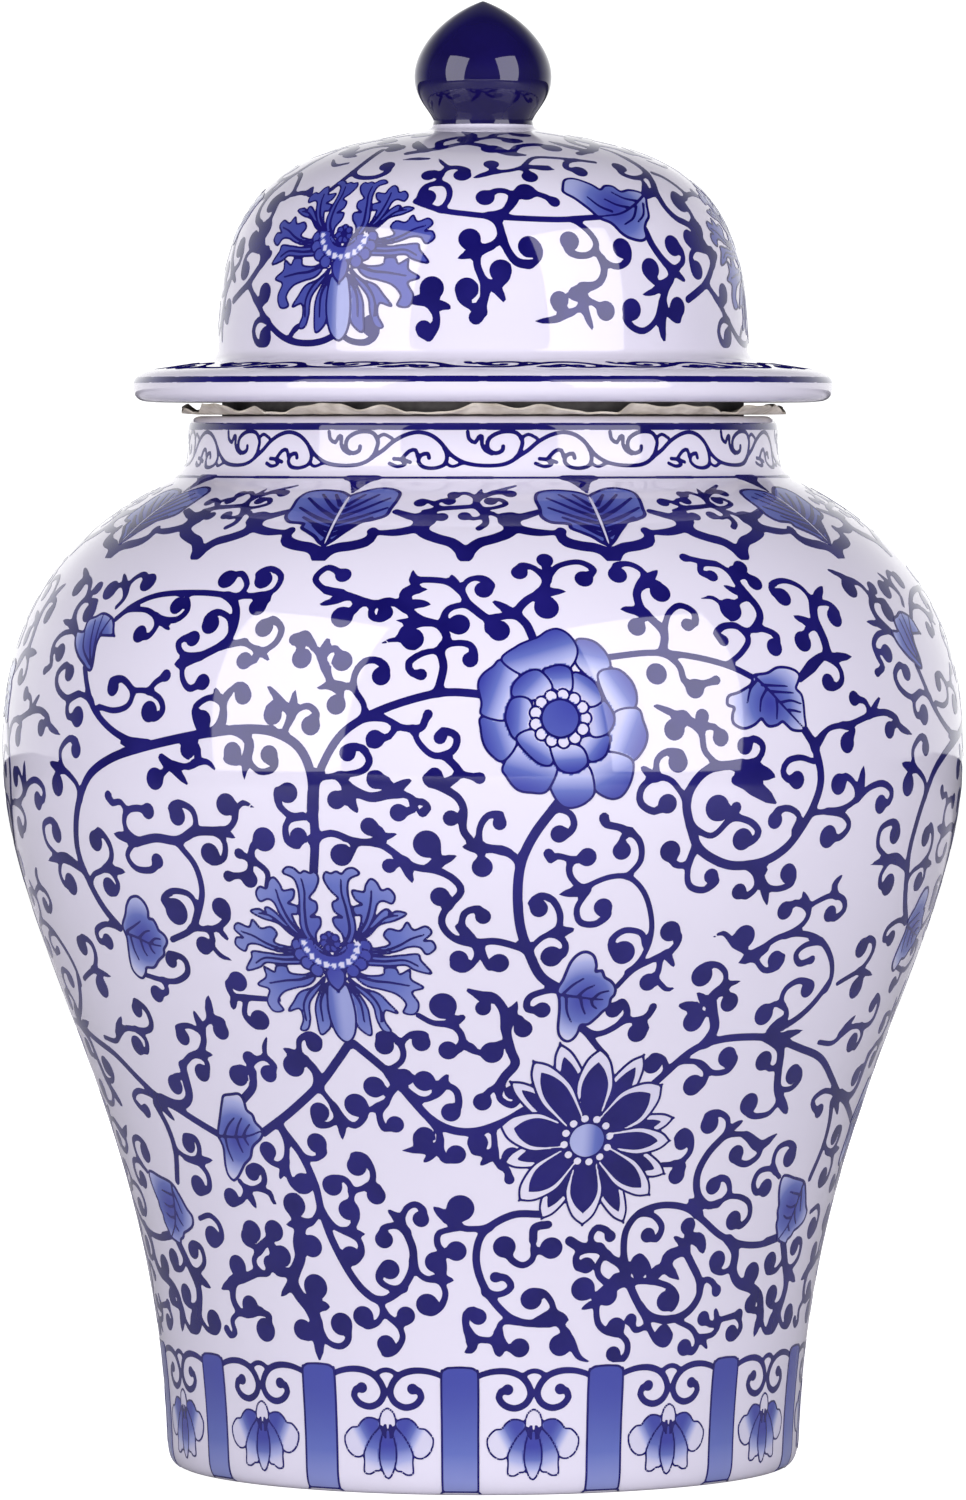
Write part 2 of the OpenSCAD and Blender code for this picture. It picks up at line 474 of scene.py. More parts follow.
def petal(base, tip, width, blunt=0.55):
    """A petal that swells from its base and ends in a point."""
    way = np.subtract(tip, base)
    side = np.array((-way[1], way[0])) / np.linalg.norm(way) * width / 2
    steps = ((0.0, 0.45), (0.3, 0.85), (blunt, 1.0), (0.85, 0.62))
    left = [base + way * t + side * w for t, w in steps]
    right = [base + way * t - side * w for t, w in reversed(steps)]
    return [n for point in (*left, tip, tip, *right) for n in point]


# ---------------------------------------------------------------- materials

def glaze(name, colour, blotch, scale, shine=0.5):
    """Glossy glaze whose colour wanders softly between two tones."""
    material = bpy.data.materials.new(name)
    material.use_nodes = True
    nodes, links = material.node_tree.nodes, material.node_tree.links
    shader = nodes["Principled BSDF"]
    place = nodes.new("ShaderNodeTexCoord")
    noise = nodes.new("ShaderNodeTexNoise")
    noise.inputs["Scale"].default_value = scale
    noise.inputs["Detail"].default_value = 4
    links.new(place.outputs["Object"], noise.inputs["Vector"])
    ramp = nodes.new("ShaderNodeValToRGB")
    ramp.color_ramp.elements[0].position = 0.3
    ramp.color_ramp.elements[1].position = 0.7
    ramp.color_ramp.elements[0].color = (*colour, 1)
    ramp.color_ramp.elements[1].color = (*blotch, 1)
    links.new(noise.outputs["Fac"], ramp.inputs["Fac"])
    links.new(ramp.outputs["Color"], shader.inputs["Base Color"])
    shader.inputs["Roughness"].default_value = 0.04
    shader.inputs["IOR"].default_value = 1.62
    shader.inputs["Specular IOR Level"].default_value = shine
    return material


WHITE = (0.72, 0.70, 0.80)
BLUE, PALER_BLUE = (0.005, 0.0035, 0.10), (0.013, 0.010, 0.155)
white_glaze = glaze("white_glaze_skin", WHITE, (0.745, 0.725, 0.825), 9)
cobalt = glaze("cobalt_brushwork", BLUE, PALER_BLUE, 70)
# The flat brim is seen at a grazing angle, where a full shine would hide its strokes
brim_cobalt = glaze("brim_brushwork", BLUE, PALER_BLUE, 70, shine=0)
dark_cobalt = glaze("pooled_cobalt", (0.0045, 0.0025, 0.036), (0.008, 0.005, 0.08), 45)


def washed_glaze():
    """Thin cobalt under clear glaze: the mesh's own wash layer runs from blue to white."""
    material = glaze("thin_cobalt_wash", (0.90, 0.90, 0.97), (1, 1, 1), 40)
    nodes, links = material.node_tree.nodes, material.node_tree.links
    shader = nodes["Principled BSDF"]
    breath = shader.inputs["Base Color"].links[0].from_socket
    layer = nodes.new("ShaderNodeVertexColor")
    layer.layer_name = "wash"
    tones = nodes.new("ShaderNodeValToRGB")
    ramp = tones.color_ramp
    ramp.elements[0].color = (0.045, 0.055, 0.33, 1)
    ramp.elements[1].color = (*WHITE, 1)
    for position, colour in ((0.45, (0.12, 0.16, 0.46, 1)), (0.82, (0.40, 0.44, 0.70, 1))):
        ramp.elements.new(position).color = colour
    both = nodes.new("ShaderNodeMix")
    both.data_type = "RGBA"
    both.blend_type = "MULTIPLY"
    both.inputs["Factor"].default_value = 1
    links.new(layer.outputs["Color"], tones.inputs["Fac"])
    links.new(tones.outputs["Color"], both.inputs["A"])
    links.new(breath, both.inputs["B"])
    links.new(both.outputs["Result"], shader.inputs["Base Color"])
    return material


blue_wash = washed_glaze()


# ---------------------------------------------------------------- ceramics

FLOOR_T = 10
FOOT_HOLLOW = 4.5
FOOT_INNER_R = 64.4

# The inner face lies a wall behind the outer one, from above the floor up to the neck
inner = body_outline[20:-3]
steps = np.gradient(inner, axis=0)
steps /= np.linalg.norm(steps, axis=1)[:, None]
inner = inner + WALL * np.column_stack((-steps[:, 1], steps[:, 0]))
lip = [(NECK_R - LIP_R + LIP_R * math.cos(a), BODY_TOP - LIP_R + LIP_R * math.sin(a))
       for a in np.radians(np.arange(15, 180, 15))]
jar_profile = np.vstack((
    body_outline, lip, [(NECK_R - WALL, BODY_TOP - LIP_R)], inner[::-1],
    curve([inner[0], (inner[0][0] - 1, FLOOR_T), (inner[0][0] - 12, FLOOR_T)], 8),
    [(0, FLOOR_T), (0, FOOT_HOLLOW), (FOOT_INNER_R - 2, FOOT_HOLLOW), (FOOT_INNER_R, 0)],
))
jar = new_piece("jar_glazed_body", *lathe(jar_profile), white_glaze, "jar", "white_glaze", 35)
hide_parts("jar_body")

DOME_WALL = 5
dome_inner = curve([(DOME_BORE_R, DOME_FOOT_Z), (DOME_BORE_R, DOME_SIDE_Z - DOME_WALL),
                    (0.72 * DOME_R - DOME_WALL, KNOB_Z - 6.2 - DOME_WALL),
                    (0, KNOB_Z - 1.5 - DOME_WALL)], 40)
lid_profile = np.vstack((
    [(DOME_BORE_R, BRIM_Z)], brim_outline, dome_outline[1:], [(0, KNOB_Z)],
    dome_inner[::-1], [(DOME_BORE_R, DOME_FOOT_Z)],
))
lid = new_piece("lid_glazed_dome", *lathe(lid_profile), white_glaze, "lid", "white_glaze", 35)
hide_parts("lid_shell")

knob_profile = np.vstack(([(0, KNOB_Z), (STEM_R, KNOB_Z)], knob_outline))
knob = new_piece("lid_bud_knob", *lathe(knob_profile, 96), dark_cobalt, "lid", "cobalt_glaze", 50)
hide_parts("lid_knob")

# ---------------------------------------------------------------- body painting

body_skin = Skin(np.vstack((body_outline, lip[:2])), full_size_r=110)

# The scrolling vine, as brush strokes: a size in millimetres, then angle, height, angle, height...
# It is drawn on a sheet SHEET degrees wide and laid COPIES times round the body, with the
# sheet's edges, beyond STRETCH_FROM, drawn out a little so that the copies meet.
SHEET = 113.5
COPIES = 3
STRETCH_FROM = 40
SEAM = TURN / COPIES / 2
VINES_LOW, VINES_TOP = 31, 221.5

# Long vines: width, points
VINES = (
    # from the folded leaf down the left side to the butterfly leaf
    (1.7, -53, 193.5, -51.8, 188.6, -50.2, 183.6, -47, 178.8, -43, 175.6),
    (2.2, -19.8, 162, -20, 170, -21.5, 176, -24.5, 179.3, -28, 180, -33, 179, -38, 177.3, -43, 175,
     -47, 172.5, -50.5, 168.5, -52.5, 163, -53.8, 157, -54.4, 150, -53.5, 143, -52, 137, -50, 132.5),
    (2.2, -19.8, 165, -19.8, 155, -20.3, 147),
    # to the peony, over the top of it and on to the lobed leaf
    (1.9, -20, 162, -19, 170, -16.8, 178, -14, 182.5, -10, 186, -5, 188.6, -1, 188.5, 1, 187.5),
    (1.5, 14, 196.5, 20, 197.6, 25, 196.8, 30, 194.5, 34, 191),
    (1.6, -50, 204.5, -47.5, 208.3, -44, 210.5, -38, 211, -33, 210.4, -29, 210.5),
    (2.0, -34, 210.4, -32.2, 208, -31.6, 204, -32.3, 200, -35, 197, -38.5, 194.8),
    # under the peony to the second butterfly leaf and its loop
    (2.3, 8.8, 164, 6, 156.5, 4.5, 150, 4.1, 143, 4.5, 135, 5.7, 128.6, 7.4, 123, 10.5, 119.5),
    (1.3, 11.8, 143.7, 15, 146.2, 17.6, 145.9, 19.8, 141.5, 21, 134, 20.3, 127.5, 17.3, 120.5),
    (1.5, 13.2, 111, 15.5, 106.5, 17, 104),
    (1.6, -42, 130.3, -39, 132.7, -37.3, 136.3, -35.9, 142, -36.3, 148, -38.3, 152.8),
    # beside the lobed leaf
    (2.2, 40, 180, 41.5, 175, 42.3, 168, 41.6, 162, 40, 156, 38, 151.8, 35, 149, 31, 148.3,
     28, 150, 25.8, 153, 24.6, 158, 24, 163, 24.8, 167.5, 27, 171, 31, 171.8),
    # out of the feathery flower's foot
    (2.1, -18.3, 107, -20.5, 102.5, -23.7, 96.8, -29, 90.2, -34.3, 85),
    (2.0, -17.6, 107, -13, 100, -10, 93.8, -7.5, 89.3, -4.5, 86.8, -1, 86.5, 3, 88.7, 7, 92.5),
    (1.9, -31.2, 86.8, -28.3, 80, -26.7, 73, -26.2, 67, -24.9, 60, -22.5, 52.7, -20, 48,
     -17.2, 46, -14, 48.3, -11.8, 52.7, -11.3, 58, -12.4, 62.8, -13.3, 65.5),
    # from the daisy round the left and right lower circles
    (1.8, 9, 66.7, 5, 66.7, 1.5, 64.3, -0.5, 61, -1.1, 56, -0.3, 51, 1.5, 46.5, 4.2, 42.5,
     7, 40.9, 11, 40.8),
    (2.0, 19, 58.5, 21, 56, 23.2, 53.8, 25.1, 48.8, 27.3, 44, 30, 41.2, 34, 40.6, 37.2, 42.3,
     39, 45.8, 38.6, 49.5, 36.7, 53.3, 35, 56.5),
    (1.7, 24.2, 52.5, 23.3, 57.5, 23.4, 62.5, 25.3, 66.3, 29, 68, 33.5, 67.2, 37.2, 64.2,
     41.4, 60, 45.5, 57.5, 50, 56.8, 54.5, 57.8),
    # from the daisy to the right edge, and on to the two low leaves
    (1.9, 23.5, 95.5, 25.5, 98.5, 29.5, 104.5, 33.4, 107, 38.5, 107.5, 43, 106.7, 48, 104,
     53, 101, 57.5, 95.5, 60.5, 92, 64, 89.5, 68, 86.2, 71, 83.8),
    (1.6, 49.7, 117.7, 49.9, 121, 48.8, 125.3, 46.3, 129.6, 43, 131.6, 39.8, 131, 37.2, 128.3),
    (1.8, 49.7, 119, 48, 114.5, 45.7, 111, 42.5, 108.3),
    (1.9, -54, 90, -52.6, 84.5, -52.4, 78.5, -53.8, 71.5),
    (2.4, 42, 107, 44.6, 104, 45.3, 99, 46, 94.6, 47.3, 91.5),
    (1.9, -5.2, 189, -4.6, 194.5, -5, 198.3, -4.3, 201, -5.3, 204, -7.5, 205.3, -9.8, 208,
     -11.7, 209.5, -13.7, 208.8, -16.8, 210.5, -20, 211.8),
    (1.7, -20.3, 154.5, -17.8, 156.3, -15, 154.5, -11.8, 153.7, -8.3, 149, -5.5, 147.9, -3.5, 146,
     -2.6, 143, -4.4, 139, -5, 135.8, -3.9, 132.6, -1.7, 131, 1.6, 131.4, 5.3, 129.5),
    (1.8, -46, 100, -44, 102.5, -42.5, 103.3, -41.3, 106, -41, 109),
    (2.4, -52, 91.6, -49.5, 90.5, -47.5, 90.8, -46.2, 93, -46, 97, -46, 100),
    (2.0, 39, 84.5, 36.2, 80, 34.9, 75, 35.6, 70.3, 37.8, 67.5, 40, 67.6),
    (2.6, 43.3, 58.7, 45, 55.4, 45.2, 51, 46.8, 48, 50, 46.3, 52.3, 43.8, 53.3, 39),
    (2.6, -57.5, 56.7, -55.7, 51.6, -54.1, 46.6, -54.2, 43.3, -55.2, 39.5),
    (3.0, -30.3, 63, -31.2, 59, -31.2, 55.5, -32.5, 52, -33.2, 49.5, -32.3, 46.5, -30.5, 43.5, -29.3, 40),
    (2.1, -36.8, 92.7, -34.6, 95.8, -34, 99.5),
    (2.2, -23.8, 96.5, -23.8, 100, -25.2, 103),
    (2.2, -0.5, 118.7, 1.4, 118.2, 2.7, 115, 3, 110.5, 3.8, 105.5, 4.4, 102.5, 3, 99.5, 2.2, 97),
    (2.6, 31.7, 106.5, 32.6, 110, 31.7, 114.3, 31.3, 117.5, 32.8, 119.8),
    (2.6, 44.7, 196.5, 44.7, 200, 44.3, 205, 45, 209),
    (2.0, 35, 203, 36.2, 205.5, 36.2, 207.8, 35.2, 211, 34.4, 214, 34.8, 216.5),
    (2.0, 59.3, 197, 56.8, 201.5, 55.2, 204.5, 55, 207.3, 56.3, 210),
    (2.0, 6, 200.7, 5.3, 204, 4.2, 206.8, 5.3, 209.5, 7.2, 211.5, 8.2, 214),
    (2.0, 21.7, 198, 22.2, 202, 20.8, 205.5, 19.8, 207.7, 19.6, 211, 20.6, 213.5),
    (1.7, 0.8, 205, -1.7, 208.8, -2.8, 211.8, -4.5, 213.8, -6.6, 214.3, -9, 214.3),
    (2.2, -44.3, 153, -41.5, 154.2, -38.5, 153.8, -35.5, 156, -32, 156.2),
    (1.7, -32.7, 198.9, -29.7, 200),
    (1.6, -62, 57.5, -59.5, 58.3, -57.5, 60.5),
    (2.0, -45.3, 48.6, -46, 44.5, -45, 41.5, -43, 41, -40.8, 42),
    (2.2, -33, 51.7, -36, 51.7, -36.5, 54, -36.5, 57.5, -37.5, 58.7, -39.5, 56.5),
    (2.2, -40.3, 51.3, -43.5, 49.3, -45.5, 48.7),
    (2.2, -16.5, 169.5, -15.5, 167, -13, 164.7, -11, 165.3, -9.8, 165.6),
    (2.0, 8, 60.5, 8.2, 63.5, 10.3, 64.2),
    (1.8, -4.2, 174, -2.8, 171, -3.3, 169, -5, 167.6, -3, 165, -2.2, 162, -2.3, 157.5, -1.5, 155),
    (2.4, 14, 60.2, 16, 58.6, 19, 58.3),
)

# Tendrils that end in a round bud: the bud's radius, points up to the middle of the bud
BUDS = (
    # around the folded leaf
    (2.2, -50.7, 207.3, -50, 209.5, -50.4, 213, -49, 215, -47.3, 213.2),
    (2.3, -50.2, 210.5, -51.5, 212.5, -53.4, 211.2),
    (2.2, -32, 210.6, -31.6, 213, -33.2, 215.5, -35, 214.2),
    (2.0, -29.5, 210.5, -27.3, 211.8, -27, 215, -29, 216.7, -30.5, 215.5, -29.4, 214),
    (2.0, -28, 210.7, -27.8, 209.5, -29, 208),
    (2.1, -32, 203, -32.8, 205.5, -34.8, 206.7, -36, 205.2, -35.2, 203.8),
    (1.7, -35.5, 196.3, -38.4, 197, -39.4, 199.5, -38.2, 200.8, -37.3, 200.5),
    (1.7, -38, 194.8, -37.8, 191.5, -36.5, 189, -34.7, 190.6),
    (2.0, -29.7, 199.8, -27.3, 198, -25.5, 199.7, -25, 203, -26.5, 205.2, -27.4, 203.2),
    (1.8, -27.8, 198.3, -27.8, 195.8, -29.3, 195.6),
    (1.9, -48.5, 206.8, -45.5, 206.8, -43, 205, -40.7, 204.7, -39.5, 206.8, -40.2, 209.2, -41.2, 208),
    (1.9, -43.7, 205.5, -43.2, 203, -44, 200.7, -45.3, 201.3),
    (1.8, -50.7, 185.5, -53, 187, -55.5, 186, -57.7, 188.3, -58.2, 191.5, -56.7, 193.6, -55.7, 191.8),
    (2.2, -53.3, 187, -55, 185, -54.8, 181.8, -53, 181.7),
    (1.8, -49.5, 184.3, -47, 183.5, -45, 184.8, -44.6, 188, -46.3, 190.8, -48, 190.3, -47.6, 188.8),
    (2.2, -44.5, 188.3, -42.5, 188.2, -40.7, 186.5, -40.2, 183.8, -41.2, 182, -42, 183.5),
    (1.3, -42.3, 188.2, -41.7, 190, -40.3, 191.9),
    (2.1, -31.5, 186, -33.5, 187, -35.3, 185, -35.3, 182.5, -34.3, 181.8),
    (1.9, -31.2, 187.5, -29.8, 190, -28.7, 189.5, -28.9, 187.7),
    (2.0, -22.8, 184.5, -24.2, 186, -25.4, 185, -24.9, 183.3),
    (2.0, -22.2, 184.3, -20.5, 185.5, -19.4, 183.5, -20.1, 181),
    (2.1, -20.4, 198.6, -21.4, 200.2, -22.2, 198.5, -21.8, 196.3),
    (2.1, -18.7, 197.7, -17.7, 198.7, -16.7, 195.8),
    (1.3, -20.5, 199.5, -21.7, 202, -23, 200.6),
    (2.0, -17.8, 189.8, -16.6, 188.5, -17.1, 185.8),
    (2.0, -28.2, 173.3, -29.5, 172.2, -30.8, 173, -30, 174.7),
    (1.9, -28, 173, -26.5, 170.3, -24.8, 170.8, -24.4, 172.8, -25.2, 174.2),
    (2.3, -40.2, 173, -39.4, 170.3, -41, 168),
    (1.9, -38, 171.5, -36, 171, -34.9, 172.5, -34.7, 175, -35.5, 176.6, -36.2, 175),
    (2.4, -52.6, 162.5, -53, 166, -55.2, 169, -56.5, 168.5, -56.8, 165.5),
    (1.8, -55.6, 169.3, -56, 173.5, -54.3, 176.5, -52.9, 175.9, -53, 174),
    (2.1, -59.5, 149, -61.2, 151.5, -61.2, 155.5, -59.2, 157, -58, 155.8, -58.3, 154),
    (2.4, -58.5, 147.6, -59.5, 144.5, -59, 141.8, -57.5, 142),
    # left of the feathery flower
    (1.7, -44.3, 153, -45.7, 156.5, -45.3, 160, -43.7, 161, -42.2, 160.4),
    (1.1, -45.2, 160.3, -46, 162.3, -47.3, 162, -47.8, 163.6),
    (1.6, -44.6, 153, -46, 149.8, -45, 146.8, -42.7, 146.7, -41.8, 148.8),
    (2.3, -32.5, 156.1, -30.5, 157.5, -29.8, 160.5, -31, 162.5),
    (2.0, -36.8, 155.2, -35.5, 157.5, -35.8, 161, -37.8, 162.6, -39, 161.3, -38.1, 159.5),
    (2.2, -32.6, 156, -31.6, 153.5, -32, 150, -33.7, 149, -33.9, 151),
    (2.9, -38, 134.5, -37.2, 138, -38, 141.2, -40.5, 141.8, -42, 139.5, -40.5, 137),
    (2.2, -53.3, 142.5, -52.3, 144.7, -50.3, 146.2, -48.6, 149, -48.6, 152.5, -50, 155.3, -50.8, 152.8),
    (2.1, -49, 145.7, -48.4, 142.8, -49.3, 140.6, -50, 142),
    (2.1, -20.3, 159.8, -22.5, 160.2, -24, 162.5, -24.2, 166, -22.9, 165.5),
    (1.8, -21.2, 160.5, -23.2, 158.5, -23.3, 154.5, -22, 153.3, -21.8, 155.5),
    (2.5, -26.6, 143.5, -26.3, 147, -28, 150, -27.8, 153, -26.3, 154.6),
    (1.1, -28.3, 149.8, -29.8, 151.2),
    (1.8, -28.3, 149.5, -28.8, 145.2),
    (1.2, -29, 146.2, -31.7, 145.8),
    (1.8, -50.2, 132.4, -52.5, 133, -54.7, 131.3, -54.7, 128.8, -53, 128.8),
    (1.6, -48, 121.5, -45.3, 120.5, -43, 120.4, -41, 122.5, -41, 125.8, -43, 126.8, -43, 125.2),
    (1.9, -45, 120.4, -45, 117.7, -46.8, 117),
    (2.2, -62, 119, -60, 120.5, -58, 122, -56.7, 125, -56.8, 128, -58.5, 129.3, -59.3, 127.2),
    (2.4, -58, 121.5, -57, 119.3, -57.7, 117.5),
    (2.2, -38.8, 133.2, -35, 133.4, -32.8, 136, -32.8, 138.2, -33.5, 138.3),
    (2.0, -36, 133.3, -35.7, 130.5, -37.3, 129.2),
    (2.2, -27.5, 117, -31.5, 117.2, -34.3, 117.5, -34.8, 120.5, -33.2, 121),
    (2.2, -32.5, 116.8, -33.2, 113, -31.8, 110.5, -31, 112),
    (1.7, -62, 105, -59, 104.5, -57, 106.5, -55, 108, -51, 107.8, -49.5, 109.5, -49.7, 113,
     -51.3, 114.8, -51.5, 112.7),
    (2.2, -53, 108, -51.6, 105.5, -52.3, 102.7, -53.8, 104),
    (2.2, -46.3, 93.5, -46.4, 97, -47.8, 97.2, -48.4, 95.2),
    (2.0, -42.5, 102.8, -41.6, 101, -42.2, 98.5, -42.9, 98.6),
    (1.9, -41.3, 108.5, -43, 109.8, -45, 109, -44.5, 107),
    (2.0, -40.8, 109.8, -39, 111.8, -37.2, 111.3, -37.9, 109),
    (1.6, -53.5, 91.8, -57, 92.8, -59.2, 91, -58.3, 88.8, -56.8, 88),
    (2.3, -34.1, 99.3, -36, 100.4, -36.7, 98.4),
    (1.6, -34.2, 100, -34.1, 102.7),
    (1.9, -33.8, 102, -31.5, 103, -30.2, 101, -31.4, 99.2),
    (2.4, -25.2, 103, -27.1, 101.3),
    (1.8, -25.8, 104.3, -25.5, 107.5, -23.8, 109, -22.6, 107.6, -23.4, 106.7),
    # under the feathery flower
    (2.1, -21.5, 89, -23, 87.5, -24.8, 87.5, -25.1, 89.7, -24.2, 90.5),
    (2.5, -23.5, 96, -21.8, 92, -20.8, 89.3, -19, 87.5, -17.3, 89.8, -17.4, 92.5, -18.4, 92.4),
    (2.0, -31.2, 78.5, -33, 77.5, -34.6, 79, -34.2, 80.7),
    (2.3, -31, 86.3, -30.6, 82, -31.3, 77, -30.7, 73, -29.3, 71.8, -28.8, 73.2),
    (2.2, -27.7, 79.5, -26, 79.3, -24.4, 81, -25.4, 83),
    (2.6, -26.5, 67, -28, 64.3, -30, 63.8, -31.5, 65.5, -31, 68),
    (2.4, -31, 58, -30.2, 59.5, -28.8, 58.3),
    (2.3, -36.2, 53, -35.8, 55.3, -34.9, 55.5),
    (2.3, -36.5, 57, -37, 59.5, -35.7, 61.5),
    (2.4, -39.5, 57, -41.7, 58.3, -41.8, 60.3, -40.3, 61),
    (1.6, -39, 57, -40.7, 54, -40, 51.3, -38.2, 51.3, -37.5, 53.7),
    (2.4, -43.5, 49.5, -44.1, 52.3),
    (2.5, -41, 42, -39, 40.8, -40.2, 37.5),
    (2.2, -43.5, 41, -42.7, 43),
    (0.8, -45.3, 41, -46.8, 39, -46.5, 36.2, -47.7, 35.5, -48.3, 36.8),
    (2.7, -30.5, 45.5, -28.9, 48.6),
    (2.2, -29.5, 38, -31.3, 36.3, -32.2, 38.2),
    (2.4, -29, 38.8, -27.3, 35.5, -25, 34.7, -23.5, 36.5, -23.6, 40, -24.6, 40),
    (2.4, -50.4, 63, -48, 64, -46.4, 62, -46.3, 59, -47.5, 57.6, -48.3, 58.8),
    (2.2, -56.3, 52.3, -58, 50, -60.3, 50, -60, 52.2),
    (1.9, -55.2, 50.3, -53, 50.3, -51.3, 52.5, -51.5, 55.8, -53.3, 56.6, -53.6, 55),
    (2.2, -54.5, 42, -57, 41.2, -58.8, 42.5, -58, 44),
    (2.3, -54.8, 39, -53.3, 36.3, -51, 35.8, -50, 38, -51.3, 38.5),
    (2.0, -50.5, 77.5, -48.2, 77.3, -47, 80, -47.4, 82.5, -49.3, 82.7, -49, 81),
    (2.3, -52.3, 79.5, -50, 77.3, -48, 76.6, -46.6, 74, -46.8, 70.8, -48.3, 69.7, -49.1, 71),
    (1.8, -40.8, 73, -40, 71.6, -38, 71.4, -36, 73, -36, 76, -37.5, 76.8, -38, 75.2),
    (2.1, -39.8, 71.3, -40.8, 68.7, -42.2, 67.8, -42.9, 68.8),
    # between the flowers
    (2.0, -13, 101, -11.2, 103, -10.9, 106, -12.3, 109.3, -14, 109, -13.4, 106.7),
    (1.9, -11, 107.5, -9.5, 109.5, -7.7, 109.3, -8.3, 107.5),
    (2.0, -8.5, 114, -6.6, 112.2, -4, 111.5, -2.8, 109, -3.2, 106, -4.7, 105.7),
    (2.8, -4.3, 112, -4.3, 114.5, -5.2, 116.2),
    (2.3, -13.2, 99.5, -12.5, 97, -13.5, 95.8, -15.4, 96.8),
    (1.8, -12.5, 97, -13.7, 93.5, -15, 90.5, -14.5, 87, -12.8, 88),
    (1.9, -12.3, 100.2, -11, 99.2),
    (2.0, -11, 96.3, -8.5, 94, -6.3, 95.5, -5.2, 97.3, -3.7, 96, -3.5, 92.5, -4.6, 91),
    (2.2, -6.7, 95.3, -6.7, 97.5, -8.2, 98.4),
    (1.6, 1, 118.3, 0, 115.7),
    (1.9, 3.2, 112.3, 4.8, 113.3, 5.3, 110.8),
    (2.3, 3.3, 107, 2.2, 107.3, 1.2, 105.2),
    (1.9, 2.3, 97, 1, 96.3, -0.1, 93.5),
    (1.5, 2.5, 98, 2.3, 94.5, 4, 92.7, 5, 94.3, 4.1, 95.8),
    (1.7, 11, 119.5, 8.5, 119.8, 6, 118.3, 5.8, 115.5, 7.7, 115.2),
    (1.8, 6, 130, 7.2, 132.2, 9, 134, 9.3, 137.5, 8.3, 141, 6.8, 142, 5.8, 140.3, 6.7, 139),
    (2.2, 8.7, 133, 10.1, 131, 10, 128.3, 8.5, 127.8),
    (2.0, -4, 139.5, -5.1, 141.8),
    (1.6, -1.5, 131.5, -2.5, 134.5, -2.2, 138, -0.5, 139, 0, 137.2),
    (1.9, -1, 131, -0.8, 127.5, -2.3, 124.8, -3.7, 125.7, -3, 127.2),
    (2.0, -0.3, 131, 0.2, 127.5, 0.8, 125.3, 2, 126.3),
    (2.5, 20.3, 130.3, 19.7, 133, 17.5, 133.7, 16, 131.5, 16.3, 128.7, 17.6, 128.5),
    (1.9, 12.3, 142.5, 11.3, 139, 11.8, 135.8, 13.7, 135.3, 15.2, 137.5, 14.5, 139.2),
    (1.9, 11.8, 143.5, 10.3, 146.5, 10.3, 149.7, 12.2, 150.9),
    (1.0, 10.3, 150.5, 8.6, 151.2, 7.9, 150.3, 7.6, 151.8),
    (1.0, 17.3, 146.5, 18.7, 150, 18.4, 154.5, 16.5, 157.3, 14.2, 158.5, 14, 160),
    (1.9, 17.3, 157, 16.3, 155, 16.3, 152.3),
    (1.8, 8.2, 162.3, 10, 161, 10.5, 158.3, 9.8, 156.3, 8.8, 156.3),
    (1.4, -0.3, 153.5, -0.4, 157.5, 0.5, 160.5, 2, 160.8, 1.9, 158.8),
    (2.1, -0.3, 153, -0.1, 148.7),
    (2.8, -6, 149, -5.3, 151, -5.4, 153.5, -6.5, 154),
    (1.5, -9, 150.3, -11, 148.9),
    (2.3, -14.8, 154.3, -15.6, 151.5, -16.7, 151.3),
    (1.8, -12.5, 154.3, -11.8, 157, -13.2, 158),
    (1.6, -3.3, 169, -4.3, 167.7, -6, 167.7, -6.5, 169.3, -5.5, 169.8),
    (1.2, -2.8, 170.3, -0.4, 169.2),
    (1.6, -2.5, 160.3, -3.7, 160),
    (1.3, -8, 180.5, -7.2, 177, -5.5, 174.3, -3.4, 175.5, -3, 178.8, -4.6, 180, -4.9, 178.4),
    (0.9, -13.3, 182.8, -11, 182.5, -9.5, 180.8, -7.2, 180.5, -6.7, 182, -6.3, 183.8),
    (1.9, -10, 181, -10.7, 178.7, -12.4, 178),
    (1.9, -13.8, 183, -13.8, 186, -15, 189.5, -15, 193, -13.9, 195.8, -12.2, 195.8, -11.3, 194,
     -11.9, 192.4),
    (1.7, -19.3, 169, -16, 169.8, -13.8, 170.8, -13, 173.3, -14, 176, -15.3, 176.2, -15.6, 174.8),
    (1.9, -15.5, 166.5, -17, 164),
    (1.9, -11.2, 166, -10.9, 168.7, -12.3, 168.8),
    (1.8, -9.8, 165.6, -8.2, 164.7, -8, 162, -9.7, 161.2),
    (0.8, -8, 163.7, -6.9, 163.8, -6.3, 162.3, -6.9, 161.2),
    (1.2, -5, 198.3, -7, 197.7, -8.7, 195.5, -8.3, 193.2, -7.2, 192.8),
    (1.6, -4.8, 199.3, -3, 200, -1.5, 199.5, -1, 197.5, -1.5, 196.2),
    (2.3, -6.7, 204.5, -9, 203.7, -9.8, 201.8, -8.4, 200.8),
    (1.6, -13.7, 208.8, -13.7, 206, -12.3, 205.4, -12, 206.8),
    (1.7, -18, 211.5, -20.3, 212, -22, 214.5, -20.8, 217, -19, 216, -18.3, 215.3),
    (2.3, -16, 209.5, -15.8, 207.5, -17.4, 205.8),
    (1.9, -2.8, 212, -1.8, 214.3, 0, 214.7, 1.1, 213, 0.1, 212.1),
    (2.2, 0, 206, -2, 208.5, -4.2, 207.7, -4.7, 205, -2.9, 204.2),
    (2.2, 3.8, 206, 1.2, 205.8, 0.6, 203, 1.9, 202.8),
    (1.7, 8.2, 214.3, 8.2, 218.8),
    (1.7, 8, 214.5, 6.6, 217, 5, 217.6, 4.7, 216),
    (2.5, 7.3, 211.3, 7.8, 208),
